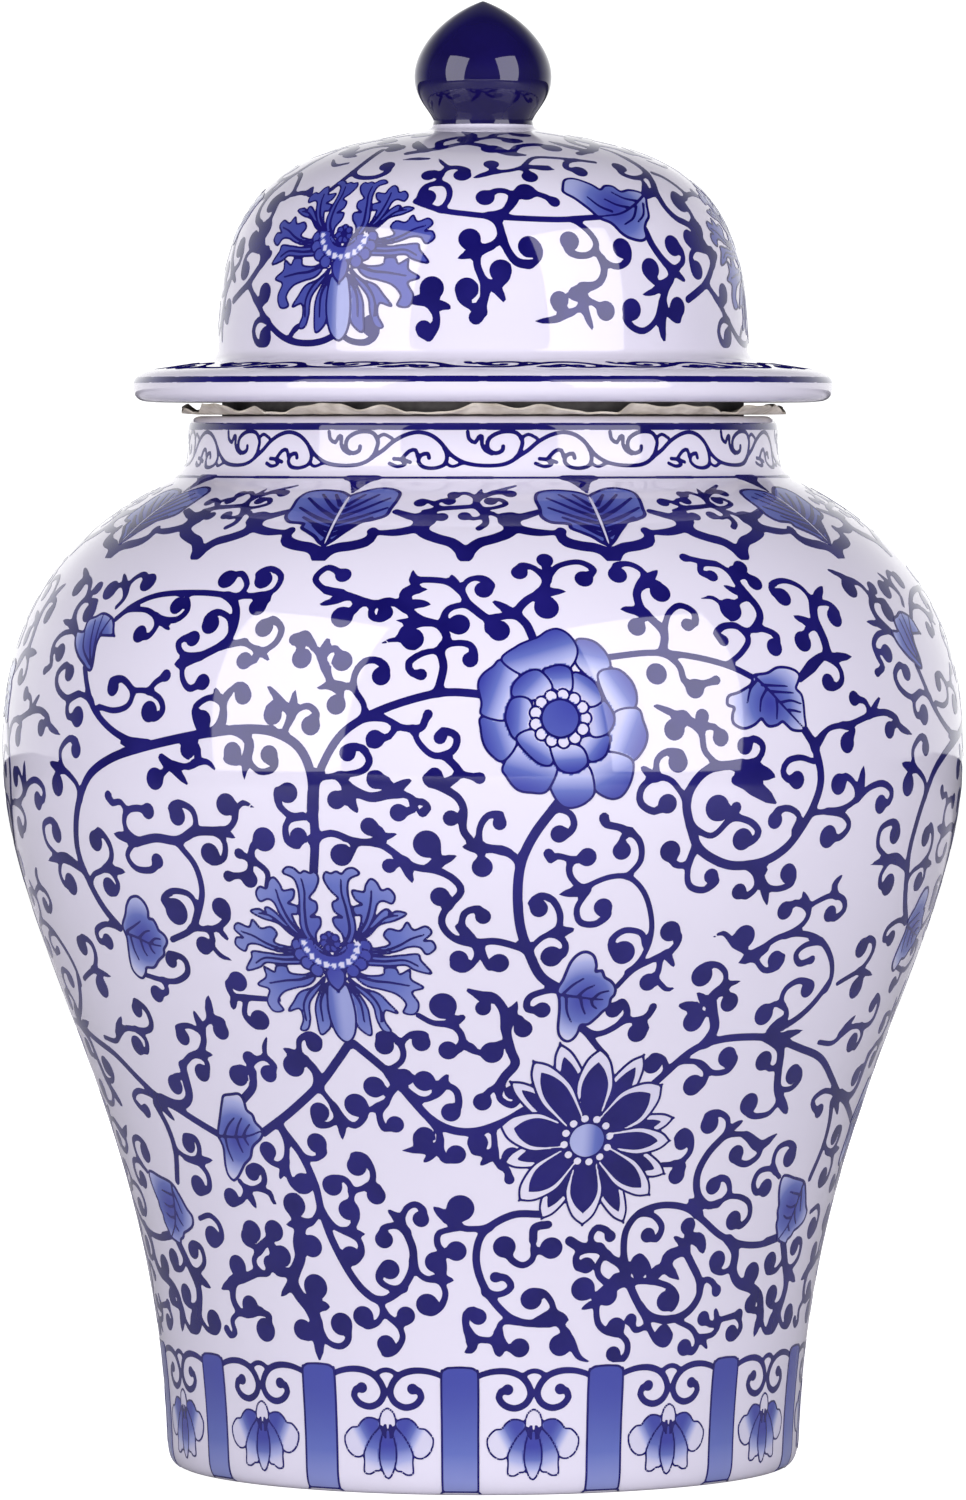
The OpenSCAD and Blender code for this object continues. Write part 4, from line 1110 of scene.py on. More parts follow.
# The feathery flower's right half, measured from its leaning axis: plumes with their ribs
PLUMES = (
    ((6.6, 1, 13.1, 0.6, 17.1, 0.8, 19.1, -0.4, 22.9, -1.2, 20.7, 2, 20.2, 3.5, 16.2, 3.2, 12.2, 2.8,
      7.2, 3),
     (7, 2, 12, 1.7, 17, 2, 20, 0.6)),
    ((6.4, 6.5, 9.4, 8, 12, 10.5, 15.6, 11.6, 18.4, 13.2, 16.2, 13.8, 14.5, 12.8, 14.7, 14, 13.7, 14.2,
      11.9, 12.8, 9.5, 10, 7, 8),
     (7, 7.3, 10.5, 9.7, 13.6, 12.2, 16.4, 12.8)),
    ((6.2, 7.2, 9, 9.2, 11, 12.5, 12.1, 15.4, 13.5, 16.2, 15.5, 15.6, 16.2, 17.4, 15, 19, 13.4, 18.6,
      12.5, 20.4, 11.2, 21.2, 9.9, 19.6, 9.4, 18.2, 6.8, 18.5, 7.3, 16.4, 8.7, 15.3, 6.5, 14.6,
      6.9, 12.8, 8.2, 12.7, 7.5, 10),
     (6.9, 8.2, 9.2, 11.5, 10.6, 15.5, 11.1, 18.5)),
    ((6.3, 3.4, 11.2, 3.4, 15.3, 4.2, 18.3, 5.3, 20.8, 5.2, 22.2, 3.5, 24.3, 5, 23.6, 6.8, 21.8, 6.8,
      23.7, 8.8, 22.5, 10.3, 19.7, 9.4, 18.4, 11.2, 16.7, 9.2, 14.1, 9.6, 12.8, 8, 14, 6, 11.3, 5,
      7.3, 4.6),
     (7, 4, 12, 4.2, 16, 5.6, 19, 7.3, 22, 8.3)),
    ((5.1, -1.2, 8, -2, 11.5, -1.6, 12.1, 0, 14.6, 0, 15.5, -1.5, 17.9, -0.4, 18, -2.8, 20.7, -4.8,
      17.9, -6, 19.2, -9, 18.1, -11.6, 15.3, -11.3, 16.2, -9, 14.2, -6.6, 10.8, -5.4, 7.4, -4.6,
      5.4, -3),
     (5.4, -2, 9, -3.2, 13, -3.6, 17.5, -4.4)),
    ((3, -2.5, 5.9, -5, 9.8, -6.5, 12, -9, 13.9, -11.5, 10.9, -10.8, 10.4, -13.5, 11.7, -16.3,
      9.8, -16.2, 8.6, -13.5, 8, -9.5, 5.7, -6.5, 3.4, -4),
     (3.5, -3.3, 7.5, -6.5, 9.6, -10, 9.6, -14)),
    ((2.5, -4, 4.8, -6.5, 6.5, -10, 6.8, -13.5, 6.6, -17.4, 4.7, -16.6, 3.3, -14.5, 3.1, -10, 2.3, -6),
     (3, -5, 5, -9, 5.3, -14)),
    ((0.2, 2.8, 3.3, 4.2, 5.4, 6.8, 6.5, 10, 6.1, 14, 5.7, 18, 6.4, 21, 8.8, 22.3, 7.6, 23.6, 6, 23.3,
      4.8, 22.2, 3.7, 22.8, 2.4, 22.3, 1.2, 22.6, 0.6, 21, 1.7, 18.6, 3.4, 16.6, 1.9, 15.6, 2.1, 13.6,
      3.8, 12.2, 1.6, 12.1, 1.7, 10.2, 3.2, 8, 2.9, 5.2),
     (3.2, 5.6, 5, 9, 4.9, 14, 4.3, 18, 4.6, 21)),
)

# Where its axis crosses the motif's middle and how it leans, its centre, and its beads
AXIS_X, AXIS_LEAN = 1.9, 0.04
CENTRE_Y = 6.4
COLLAR_BEADS = 11
HEART_BEADS = 7


def lean(numbers, side=1):
    """Points beside the feathery flower's axis, on its right (1) or left (-1)."""
    points = pairs(numbers)
    points[:, 0] = AXIS_X - AXIS_LEAN * points[:, 1] + side * points[:, 0]
    return points.ravel()


def bow(width, height, degrees):
    """Points of an oval round the feathery flower's centre, at some degrees."""
    return [(width * math.cos(a), CENTRE_Y + height * math.sin(a)) for a in np.radians(degrees)]


def paint_feathery_flower(flower, pale=0.55):
    """Plumes on both sides of a long bud, with a beaded collar; pale is the plumes' palest tone."""
    for plume, rib in PLUMES:
        for side in (1, -1):
            flower.shape(lean(plume, side), (AXIS_X, 3), reach=24, tones=(0.1, pale), line=0.5)
            flower.vein(lean(rib, side), 0.8)
    # round scales where the plumes meet the collar
    for x, y in ((8, 5.3), (7.8, 3), (6.5, 1), (4.4, -0.8)):
        for side in (1, -1):
            flower.shape(lean(disc(x, y, 1.6), side), (x, y), reach=9, tones=(0, 0.1), line=0.45)
    # the long pale bud that hangs from the middle, and the scale over it
    flower.shape(lean((1.8, -3.5, 3.1, -8, 3.3, -13, 2.2, -17.5, 0, -19.4, -2.2, -17.5, -3.3, -13,
                       -3.1, -8, -1.8, -3.5)), (-2.5, -11), (3, -11), tones=(0.15, 0.7))
    flower.shape(lean((1.9, -0.6, 1.9, -3.8, 0, -6, 0, -6, -1.9, -3.8, -1.9, -0.6)), (0, 0), reach=9,
                  tones=(0, 0.2))
    # the dark collar under the centre, and its row of white beads
    span = range(175, 370, 15)
    collar_edge = bow(7.5, 7, span) + bow(4.2, 3.6, span[::-1])
    flower.shape(lean(collar_edge), (AXIS_X, 0), reach=20, tones=(0, 0), line=0.3)
    for x, y in bow(6.5, 6, [184 + 17.2 * i for i in range(COLLAR_BEADS)]):
        flower.shape(lean(disc(x, y, 0.5)), (x, y), reach=9, tones=(0.97, 0.97), line=0)
    # the small dark heart
    for i in range(HEART_BEADS):
        turn = math.radians(TURN * i / HEART_BEADS + 90)
        bead = disc(1.6 * math.cos(turn), 6.2 + 1.6 * math.sin(turn), 0.95)
        flower.shape(lean(bead), (AXIS_X, 6), reach=9, tones=(0, 0), line=0.45)
    flower.solid(lean(disc(0, 6.2, 0.7)))


feather = body_motif(-20, 125, -26, 29, -21, 25.5)
paint_feathery_flower(feather)
feather.piece("feathery_flower", "jar")

# Big leaves: name, angle, height, outline, then ribs
BIG_LEAVES = (
    ("folded_leaf", -52.5, 198.5,
     (-9, 3, -6, 3.2, -5.8, 5.5, -5, 6.5, -3, 7, 0, 8, 4, 7, 5.8, 5.5, 6.5, 4, 7.4, 2.4, 7.4, 2.4,
      2, 2.4, 2, 2.4, 1.4, 0, 2, -4, 1.8, -6, 0, -5.8, -1.5, -4.8, -5, -2.8, -8, 0),
     (1.4, -5, -1, 0, -2.5, 6.3), (1.6, -3.6, 0.5, 2, 0.2, 7.3), (1.8, 2.6, 2.7, 4.6, 3.8, 6.6),
     (0.8, -4.6, -3.6, -1, -5.4, 3.4)),
    ("left_butterfly_leaf", -46.4, 130.3,
     (-6.6, 2.8, -4.5, 5.5, -3, 8, -1, 9.8, 1.5, 10.2, 3.4, 8.8, 4, 6.8, 3.6, 5, 5, 4.8, 5.8, 3.2,
      6, 2.2, 7.4, 1.2, 8, 0, 7.6, -1.2, 6.2, -2.6, 5.8, -4, 3.4, -5.5, 1, -7.4, -1.8, -7.6, -2.8, -9,
      -4.5, -10.4, -6.2, -10, -7.6, -8.4, -7.6, -6, -6.6, -2, -6.2, 0),
     (-6, 1, -2, 0, 1.5, -1.2, 5.5, -1.8), (-5.5, 1.5, -2, 3, 0.5, 4.2), (-1.5, 0, 1, 1.5, 3, 2),
     (2, -1.2, 4, 0, 6, 0), (-4.6, 0.4, -4.6, -3, -3.8, -5.8), (-1.2, -0.4, -1, -3, -0.2, -4.6),
     (1.6, -1.4, 2, -3, 2.8, -3.8)),
    ("middle_leaf", -39.5, 83.4,
     (-6, 0.6, -4, 5, -2.2, 8.8, -1.2, 10.4, 1, 10.8, 3.4, 11, 4.4, 9.5, 4.6, 7.2, 6, 6, 6.4, 4.2,
      8, 2.2, 7, 0.2, 4.2, -2, 2.8, -4.8, 0.6, -6.6, -0.6, -8, -2.4, -10, -4.2, -11, -5.6, -9.6,
      -5.8, -7, -5.2, -3, -5.6, -1),
     (-5.5, 0.2, 0, 0.2, 4, 0.8, 7.4, 2), (-4, 0.4, -2, 3, 0.4, 5), (-0.4, 0.4, 1, 3, 2.6, 5),
     (2, 0.6, 3.2, 2.2, 4.6, 3.6), (-3.8, 0, -3.8, -3, -3, -6), (-0.2, 0, 0.2, -2, 0.8, -3.6),
     (2.2, 0.4, 2.4, -0.6, 3, -1.6)),
    ("low_leaf", 56, 65,
     (-7, 8, -5.4, 8.2, -2, 7.4, 3.6, 6, 6, 3.2, 8, 0, 9.6, -1.8, 9, -4, 6.6, -5.4, 4.4, -6.2,
      3.4, -7.4, 1.8, -8.2, 1.4, -9.2, -1, -8.6, -3.2, -7.8, -3.6, -6.6, -5, -4, -5, -2.4, -5.8, -0.6,
      -5.8, 1, -6.8, 3.4, -7.4, 6),
     (3.6, 6, 2.4, 0, 0.5, -4.5, -3, -8), (3, 3, 0.5, 3.4, -2.2, 4), (2.4, 0.4, 0, 0, -2.4, 0.6),
     (1.2, -2.6, -1, -2.6, -2.6, -1.8), (3.4, 4, 4.6, 1, 5.4, -1.4), (2.2, -0.6, 3.4, -3, 4.6, -4.4),
     (0.6, -4.4, 1.8, -6)),
    ("lobed_leaf", 35.4, 185.6,
     (-12, 0.6, -11.4, 2, -8.6, 2.8, -5, 4.6, -4.4, 6.2, -3.6, 6.8, 0, 7.2, 3, 8.4, 6, 8.4, 8.6, 7.6,
      9.6, 6.4, 8.8, 4.8, 8, 3.4, 9.4, 2, 9.8, 0, 9.8, -3, 10, -5.6, 9, -6.4, 6, -6.2, 4, -4.8,
      3, -4.2, 1.4, -5, -1, -5.2, -2.4, -4, -3, -3.4, -5, -4.8, -8, -5.6, -10.6, -4.4, -10.8, -2.4,
      -10.2, -0.8, -11.8, -0.2),
     (-4, 6.6, 0, 3, 4, -1, 9.5, -6), (-3.4, 5.4, -5.4, 3.4, -6.6, 0.2), (-0.8, 3.4, -2.6, 1, -3.2, -1.8),
     (1.8, 1, 1.8, -1, 1.4, -3.6), (-2, 4.4, 1, 4.2, 5.4, 4), (0.4, 2.8, 3.6, 2.6, 7, 2.4),
     (3, 0.2, 6, 0.6, 9, -0.2), (5, -1.6, 7, -1.8, 8.8, -2.2)),
    ("right_butterfly_leaf", 13.2, 117.7,
     (-6.6, 2.4, -5.4, 5, -4, 9, -2.4, 11, -0.6, 11.6, 1.2, 10.6, 2, 8.4, 2, 6.8, 3.4, 7, 4.2, 5.4,
      5.8, 4.4, 7, 2.8, 7, 1, 6.2, 0, 6, -2, 4.6, -3.2, 3.4, -4.6, 1.4, -6.4, -0.4, -6.6, -1, -8.6,
      -2, -10.2, -3.4, -10.8, -5, -9.8, -5.8, -7.6, -5.8, -3, -6, 0),
     (-6, 1.2, -2, 0.6, 2, 0, 4.4, -0.2), (-5, 1.6, -3, 3.6, -0.6, 5.2), (-1.6, 0.8, 0, 2.4, 2, 3.4),
     (2, 0, 3.4, 1.4, 5.6, 2), (-4.4, 0.6, -4, -3, -2.8, -5.8), (-1, 0.2, -0.4, -2, 0.4, -3.8),
     (1.6, -0.2, 2, -1.6, 3, -2.4)),
)
for name, angle, height, leaf_outline, *ribs in BIG_LEAVES:
    leaf = body_motif(angle, height, -13, 11, -12, 13)
    leaf.shape(leaf_outline, (0, 0), reach=12, tones=(0.0, 0.95), line=0.7)
    for rib in ribs:
        leaf.vein(rib, 0.75)
    leaf.piece(name, "jar")


# ---------------------------------------------------------------- borders

def moved(numbers, turn, lift=0.0):
    """The (angle, height) pairs of a stroke, turned and lifted."""
    return pairs(numbers) + (turn, lift)


def mirrored(numbers):
    """The pairs on both sides of their own axis."""
    points = pairs(numbers)
    return points.ravel(), (points * (-1, 1)).ravel()


def border(skin, turn, low, high, copies, cell=0.45):
    """Paint for one repeat of a border, centred on an angle."""
    half = TURN / copies / 2
    return Paint(skin, *skin.flat([(turn - half, low), (turn + half, high)]), cell, copies, ring=True)


def even(width):
    """The widths of a stroke that stays as wide."""
    return [(0, width), (1, width)]


# The foot's panels: bars between scrolls, with a hanging flower under each pair of scrolls
PANELS = 14
BAR_TURN = -4.0
PANEL_TURN = BAR_TURN + TURN / PANELS / 2
scrolls = border(body_skin, PANEL_TURN, 18, 31.5, PANELS)
SCROLL = (-10.4, 27.6, -9.2, 28.6, -7, 29.4, -4.6, 29.4, -2.5, 28.4, -1.1, 26.4, -0.6, 24, -1.4, 21.8,
          -3.2, 20.7, -5.1, 21.4, -6.1, 23.2, -5.7, 24.7)
for scroll in mirrored(SCROLL):
    scrolls.stroke(moved(scroll, PANEL_TURN), [(0, 1.3), (0.3, 1.6), (1, 1.6)], 0.5)
for head in mirrored((-4.6, 25.1)):
    scrolls.spot(moved(head, PANEL_TURN)[0], 2.6)
scrolls.stroke(moved((-2, 28.3, -1, 29.2, 0, 29.5, 1, 29.2, 2, 28.3), PANEL_TURN), even(1.2), 0.5)
scrolls.brushed("foot_scrolls", "jar")

bars = Motif(body_skin, BAR_TURN, 15, -5.5, 5.5, -15.2, 16.5, cell=0.45, copies=PANELS)
BAR = (-3.2, 0.9, -3.2, 0.9, -3.2, 14, -3.2, 28, -2.8, 29.6, -1.6, 30.3, 1.6, 30.3, 2.8, 29.6, 3.2, 28,
       3.2, 14, 3.2, 0.9, 3.2, 0.9)
bars.shape(bars.local(BAR), (0, 13), (0, -16), tones=(0.08, 0.62), line=0.55)
bars.piece("foot_bars", "jar")

hanging = Motif(body_skin, PANEL_TURN, 15, -11.6, 11.6, -11.8, 6.2, copies=PANELS)
for side_petal in mirrored((2, 2.2, 3.6, 3, 5.2, 3, 6.6, 2, 7.4, 0.9, 9, 0.6, 10.4, -0.8, 10.9, -2.2,
                            10.2, -4.6, 8.8, -6, 7.4, -6.3, 6, -5.6, 4.6, -3, 2.4, 0.2)):
    toward = math.copysign(1, side_petal[0])
    hanging.shape(side_petal, (4 * toward, 1), (8.5 * toward, -1.5), tones=(0.05, 0.97), line=0.45)
for low_petal in mirrored((1, 1, 3.4, -0.6, 5, -3, 6, -5.4, 5.9, -7.4, 6, -9.8, 4.6, -10.3, 3, -9.4,
                           1.9, -9.2, 1.2, -6)):
    toward = math.copysign(1, low_petal[0])
    hanging.shape(low_petal, (2 * toward, 0), (4.5 * toward, -9.5), tones=(0.1, 0.97), line=0.45)
hanging.shape((0, 1.2, 1.4, -1.5, 2, -5, 1.7, -8, 0.6, -10.7, -0.5, -11.1, -1.6, -9, -2.2, -6,
               -1.6, -1.6), (0, -3), (0, -10.5), tones=(0, 0.95), line=0.45)
hanging.shape((0, 5.4, 1.4, 4.4, 1.9, 2.6, 1.7, 0.9, 0, 0.4, -1.7, 0.9, -1.9, 2.6, -1.4, 4.4), (0, 0),
              reach=9, tones=(1, 1), line=0.45)
for stamen in ((-0.6, 1.4, -0.6, -1.8), (0.6, 1.4, 0.6, -1.8), (1.5, 1, 1.2, -0.8), (-1.5, 1, -1.2, -0.8)):
    hanging.vein(stamen, 0.7)
hanging.piece("foot_flowers", "jar")

# The shoulder's lappets: a leaf under every second one and a sprig between
LAPPETS = 9
LEAF_TURN = 17.6
SPRIG_TURN = LEAF_TURN - TURN / LAPPETS / 2
collar = border(body_skin, LEAF_TURN, 218.5, 240, LAPPETS)
for band in mirrored((-14.4, 228.6, -12, 228.6, -10.4, 229.2, -9, 229.8)):
    collar.stroke(moved(band, LEAF_TURN), [(0, 3.2), (1, 1.9)])
for band in mirrored((-14.4, 227.6, -13, 226.2, -10.5, 225.2, -8, 225, -6, 225.3)):
    collar.stroke(moved(band, LEAF_TURN), [(0, 3.2), (0.6, 2.5), (1, 1)])
for band in mirrored((-6.4, 225.6, -6.5, 224, -5.8, 222.8, -4, 222, -2.2, 221.6, -1, 220.8, 0, 219.6)):
    collar.stroke(moved(band, LEAF_TURN), [(0, 1.9), (0.3, 3.2), (0.8, 3.1), (1, 3.8)])
for band in mirrored((-6.6, 228.6, -6.8, 227, -6, 225, -4, 223.7, -2, 222.8, -0.8, 221.4, 0, 219.8)):
    collar.stroke(moved(band, SPRIG_TURN), [(0, 3.6), (0.5, 3), (0.8, 3), (1, 3.4)])
collar.stroke(moved((0, 220.6, 0, 219.1), LEAF_TURN), [(0, 3), (1, 0.4)])
collar.stroke(moved((0, 220.6, 0, 218.9), SPRIG_TURN), [(0, 3), (1, 0.4)])
SPRIG_STEMS = ((3.2, 226, 4.2, 227.2, 3.9, 229.3, 2.8, 231.3, 3, 232.8, 4.6, 233.7, 7, 234.8, 9.4, 235.7),
               (3, 231.1, 0.2, 230.8, -2.8, 230.5, -5.4, 230))
for stem in SPRIG_STEMS:
    collar.stroke(moved(stem, SPRIG_TURN - 1.4), [(0, 1.6), (0.7, 1.8), (1, 0.8)])
SPRIG_BUDS = (
    (-2.8, 230.6, -4.2, 231.8, -6, 232.4, -6.2, 231.8), (-4, 231.6, -2.8, 232.4, -1.6, 232.2),
    (-3.6, 230.3, -3.7, 228.9, -2.4, 228.6), (3.7, 228.6, 2.4, 228.2, 1, 228.8),
    (3.4, 230.5, 5.6, 230.7, 7.4, 231.6, 6.4, 232.6, 5, 232.2), (2.9, 232.8, 1, 234, -1, 233.6),
    (5.6, 234.2, 7.4, 234, 8.3, 233.9),
)
for bud in SPRIG_BUDS:
    collar.bud(1.35, *moved(bud, SPRIG_TURN - 1.4), stem=1.1)
for tip in ((4, 229.8, 5.2, 229.4, 6.2, 228.6), (3, 232.6, 3.2, 233.8, 3.6, 235)):
    collar.leaf(1.6, *moved(tip, SPRIG_TURN - 1.4))
for shift in np.linspace(-3, 3, 9):
    depth = 3.3 - 0.95 * abs(shift)
    collar.stroke(moved((shift, 237.5, 0.5 * shift, 237.5 - depth), LEAF_TURN), [(0, 1.6), (1, 0.8)])
collar.stroke(moved((-24, 237.6, 24, 237.6), LEAF_TURN), even(0.75), 0.4)
collar.brushed("shoulder_lappets", "jar")

heart_leaf = Motif(body_skin, LEAF_TURN, 228, -16, 16, -12, 18, copies=LAPPETS)
HEART = (0, 233.3, 0, 233.3, -1.5, 234.1, -3.5, 234.5, -6, 234.6, -8.3, 234.1, -9.1, 232.7, -8.8, 230.5,
         -8.8, 228.7, -7.6, 227.4, -5.6, 227.1, -4.8, 226.8, -4.8, 226, -3.5, 225.1, -2, 224, -1, 222.8,
         0, 222, 0, 222, 1, 223.2, 2.2, 225, 3.4, 226.5, 4.2, 227.4, 6, 228, 7.6, 228.9, 8, 230.5,
         8.5, 232.5, 8.4, 234.1, 6.5, 235, 4, 235, 1.5, 234.1)
heart_leaf.shape(heart_leaf.local(HEART), heart_leaf.local((0, 229)), reach=15, tones=(0.0, 0.42), line=0.9)
# The ends of its ribs, as angle and height, from the lowest up
HEART_RIBS = ((3.2, 226.6), (5.6, 228.4), (7.4, 230.6), (7.2, 232.8), (5.0, 233.6), (2.6, 233.6))
for i, (out, top) in enumerate(HEART_RIBS):
    foot = 224.4 + 1.35 * i
    for rib in mirrored((0.6, foot, out * 0.5, (foot + top) / 2 - 0.3, out, top)):
        heart_leaf.vein(heart_leaf.local(rib), 1.35)
heart_leaf.vein(heart_leaf.local((0, 222.4, 0, 233)), 1.7)
MIDRIB = (-0.22, 232.6, 0.22, 232.6, 0.2, 227, 0.1, 222.8, -0.1, 222.8, -0.2, 227)
heart_leaf.shape(heart_leaf.local(MIDRIB), (0, 0), reach=40, tones=(0.97, 0.97), line=0)
heart_leaf.piece("shoulder_leaves", "jar")

# The rolling waves of the neck, also laid on the lid's brim
WAVES = 13
WAVE_TURN = 15.5
WAVE_STROKES = (
    (0.85, -9.2, 3.3, -7, 5, -5, 7, -2.5, 8.6, 0, 9.2, 2.5, 8.4, 4.6, 6.2, 5.4, 3.6, 4.9, 1.6, 3, 0.8,
     1, 1.1, 0, 2.4, 0.4, 3.8, 1.7, 4.2, 2, 3.2),
    (0.85, 5, 5.5, 6.5, 3.6, 9, 2, 12.5, 1.4, 16, 1.7, 18.4, 3.2, 19.4, 5.5, 19.6, 7.3, 18.6, 9, 16.8, 9.4,
     15, 9, 13.4, 7.8, 13, 6.2, 13.4, 4.9, 14.6, 4.3, 15.8, 4.9, 16, 5.9),
    (0.7, 5.2, 2, 6.5, 1.2, 8.4, 2), (0.7, 19.4, 7.8, 20.8, 8.7, 22.4, 7.8),
    (0.8, -5.6, 1.9, -4, 1.2, -2.6, 1.7, -3.2, 2.9, -1.8, 4.8, -0.6, 5, -0.2, 3.6),
    (0.8, -4.8, 3, -3.2, 2.8, -1.6, 2.2), (0.8, 9.3, 9.3, 9.6, 7.6, 10.7, 6.8, 11.4, 8.1, 12, 8.2,
     12, 6.4, 12.6, 5, 13.8, 4.2),
)


def paint_waves(paint, base, bold):
    """One repeat of the rolling waves, over a base height, with strokes bold times as wide."""
    for width, *points in WAVE_STROKES:
        paint.stroke(moved(points, WAVE_TURN, base), even(bold * width), 0.4)


neck = border(body_skin, WAVE_TURN, 238.5, 250.6, WAVES, 0.35)
paint_waves(neck, 239, bold=1.15)
neck.brushed("neck_waves", "jar")


LINE_COPIES = 36


def painted_line(name, skin, height, width, body):
    """A painted line round a skin, as a short stretch and its copies."""
    line = border(skin, 0, height - width, height + width, LINE_COPIES, 0.3)
    line.stroke([(-9, height), (9, height)], even(width), 0.4)
    line.brushed(name, body)


painted_line("rim_line", body_skin, 249.55, 1.5, "jar")

brim_skin = Skin(brim_outline, full_size_r=84, by_distance=True)
brim = border(brim_skin, WAVE_TURN, 12.6, 23.4, WAVES, 0.35)
paint_waves(brim, 13, bold=2.4)
brim.brushed("brim_waves", "lid", brim_cobalt)
painted_line("brim_line", brim_skin, 7.9, 1.4, "lid")

# ---------------------------------------------------------------- the lid's painting

# The dome's skin starts a little above the brim
dome_skin = Skin(dome_outline[3:], full_size_r=62)
DOME_VINES = (
    (1.5, -16.5, 302.3, -10, 300.2, -3, 299.2, 3, 298.6, 10, 298.2, 18, 298, 24, 298.4, 30, 298.8),
    (1.9, 1.5, 299, 3.5, 297, 4.3, 294, 5.5, 290.5, 7.5, 287.9, 10, 287.3),
    (1.8, 4, 293.6, 2, 291.8, -0.5, 291),
    (1.8, -1, 291.5, -1.3, 287.5, -0.3, 284.5, 0.6, 281.5, 0, 279),
    (1.8, -11.3, 280.5, -11.3, 278, -10, 275.8, -10, 272.8, -11.5, 270.2),
    (1.8, 3, 299.2, 5.5, 300.2, 7.5, 302.2, 8.5, 304),
    (1.2, 2, 309.3, 7, 309.6, 11, 310.3, 15, 310.6, 19, 310.6),
    (1.2, 12, 311, 16, 312.8, 22, 312.9, 30, 312.4, 36, 311.9),
    (1.6, -42.5, 305.3, -40.5, 307.5, -39, 310, -38.3, 312.5, -38.5, 315),
    (1.4, -49, 304.5, -53, 304.8, -56.5, 304.6, -58, 306.5, -61, 308.8, -64, 309.6),
    (1.9, -55.5, 290.3, -58.5, 287.5, -62.5, 283.5, -66, 281.5, -70, 279.5),
    (1.6, -62.5, 283.3, -58.5, 279.5, -54, 275, -49.5, 271.5, -45, 269.6, -40, 269.1, -36, 269.7,
     -32.5, 271.3),
    (1.8, -57, 291.5, -61, 291.3, -64, 292.3, -66.5, 293.6),
    (1.8, 26.8, 289, 27.2, 286, 25.8, 283.2, 22.8, 281.8, 21.5, 279.5, 21.8, 277),
    (2.0, 40, 296, 41, 292.5, 43, 289.3, 45, 287, 45.3, 284.5, 43.5, 282.3, 42.3, 279.5, 42, 276.5),
    (2.0, 44, 303.8, 47, 304.4, 49.5, 305.3, 51.5, 307.5, 53.3, 310.5, 53, 313.3),
    (1.9, 49.5, 304.8, 49.7, 301.5, 52, 298.8, 56, 297.3, 59, 294.8, 61, 291.3, 62, 288.3),
)
DOME_BUDS = (
    (2.0, 7.5, 287.9, 10.5, 287.4, 12.4, 289.4, 12.2, 291.6, 10.2, 291.6),
    (2.0, 1.5, 291.5, -1, 291, -3, 293.4), (2.0, 0.5, 283.5, 3, 282.5, 5, 284.3, 3.8, 286),
    (2.1, 0.5, 281.5, 0, 278.5, -2.5, 277.6, -4.8, 279.6, -3.5, 281.6),
    (1.3, -0.2, 278.5, 0.3, 276, -1.5, 275), (2.2, -11.3, 278.5, -11.2, 280, -11, 281.8),
    (1.5, -11.4, 270.6, -13, 271, -12.6, 272.4),
    (1.8, -10, 300.3, -8.6, 302.3, -8.3, 304.5, -9.5, 306.2, -11.5, 306.6, -14.4, 306, -15.4, 304.2,
     -14, 303.2),
    (1.6, -11.5, 306.6, -11.6, 308.5, -10, 310.2, -7, 310.4, -4.4, 309.6, -5.6, 308.6),
    (1.4, -11.6, 308.5, -13.5, 309.3, -14.8, 308.6),
    (1.7, 6, 301.3, 7.2, 303.6, 5.6, 304.7, 3, 304.7, 0.5, 303.2),
    (1.9, 7, 303, 8.6, 304.4, 10.6, 304.6), (1.1, 10.6, 304.8, 13, 304.2, 15.5, 303.4, 17.4, 302.2),
    (1.4, 4, 309.4, 2.6, 310.2, 2.4, 311.2), (1.5, 11, 310.2, 12.5, 309.2, 12.6, 308.2),
    (1.5, -39, 309.6, -37, 308.6, -34, 308.1, -30, 308.3, -27.5, 309.6, -29, 310.9),
    (1.5, -56.5, 304.8, -59, 303.6, -62.5, 303.8), (1.8, -59, 280, -56.5, 278.8, -54.2, 279.6, -55, 281.2),
    (1.8, -53, 274.5, -57, 274.6, -58.6, 272, -57, 269.3, -54.5, 269.2, -54, 270.6),
    (2.0, -61, 292, -62.6, 294.4, -61, 296.4), (1.8, -64, 291.8, -66.6, 290, -67, 287.5, -65.5, 286.5),
    (1.9, -31.5, 272, -30.5, 270.3, -28, 269.3, -25, 269.4, -23.2, 271.3, -24.4, 273.2),
    (1.8, 21.5, 297.8, 24.5, 295.3, 26, 292.3, 24.3, 289.9, 21, 289.6, 19, 290.8, 19.6, 293),
    (1.9, 25.8, 290.5, 27.5, 288.2, 30.5, 287, 33.3, 288.3, 34, 290.8, 32.4, 291.4),
    (1.7, 22.5, 279, 20.5, 277, 18, 276.2, 15.8, 277.4, 16.4, 279),
    (1.3, 24, 282.4, 21.5, 282.6, 20, 280.6), (1.8, 22.3, 279.4, 25, 278, 27, 276.6),
    (2.0, 44, 288, 47, 286.9, 50, 288.6, 50, 291.4, 47.6, 292.2),
    (2.0, 44, 284, 41.5, 283.2, 39, 284.6, 39.4, 286.6),
    (2.0, 41.5, 279, 39.8, 274.5, 36.5, 272, 33.5, 272.8, 31.8, 275, 33.4, 277),
    (1.9, 42.3, 278.6, 44, 275.6, 46.6, 274.6, 46.4, 277.6),
    (2.1, 57, 296.8, 59.3, 298.5, 59, 301.5, 56.8, 302.6),
    (1.7, 58.5, 294.2, 57, 291.8, 55, 292.6, 54.4, 294),
    (1.5, 52.8, 309.5, 49, 308.6, 45, 308.3, 42, 309.3, 43.5, 310.8),
    (1.5, 30, 312.4, 26, 311.8, 24.6, 310.4, 28, 309.6),
)
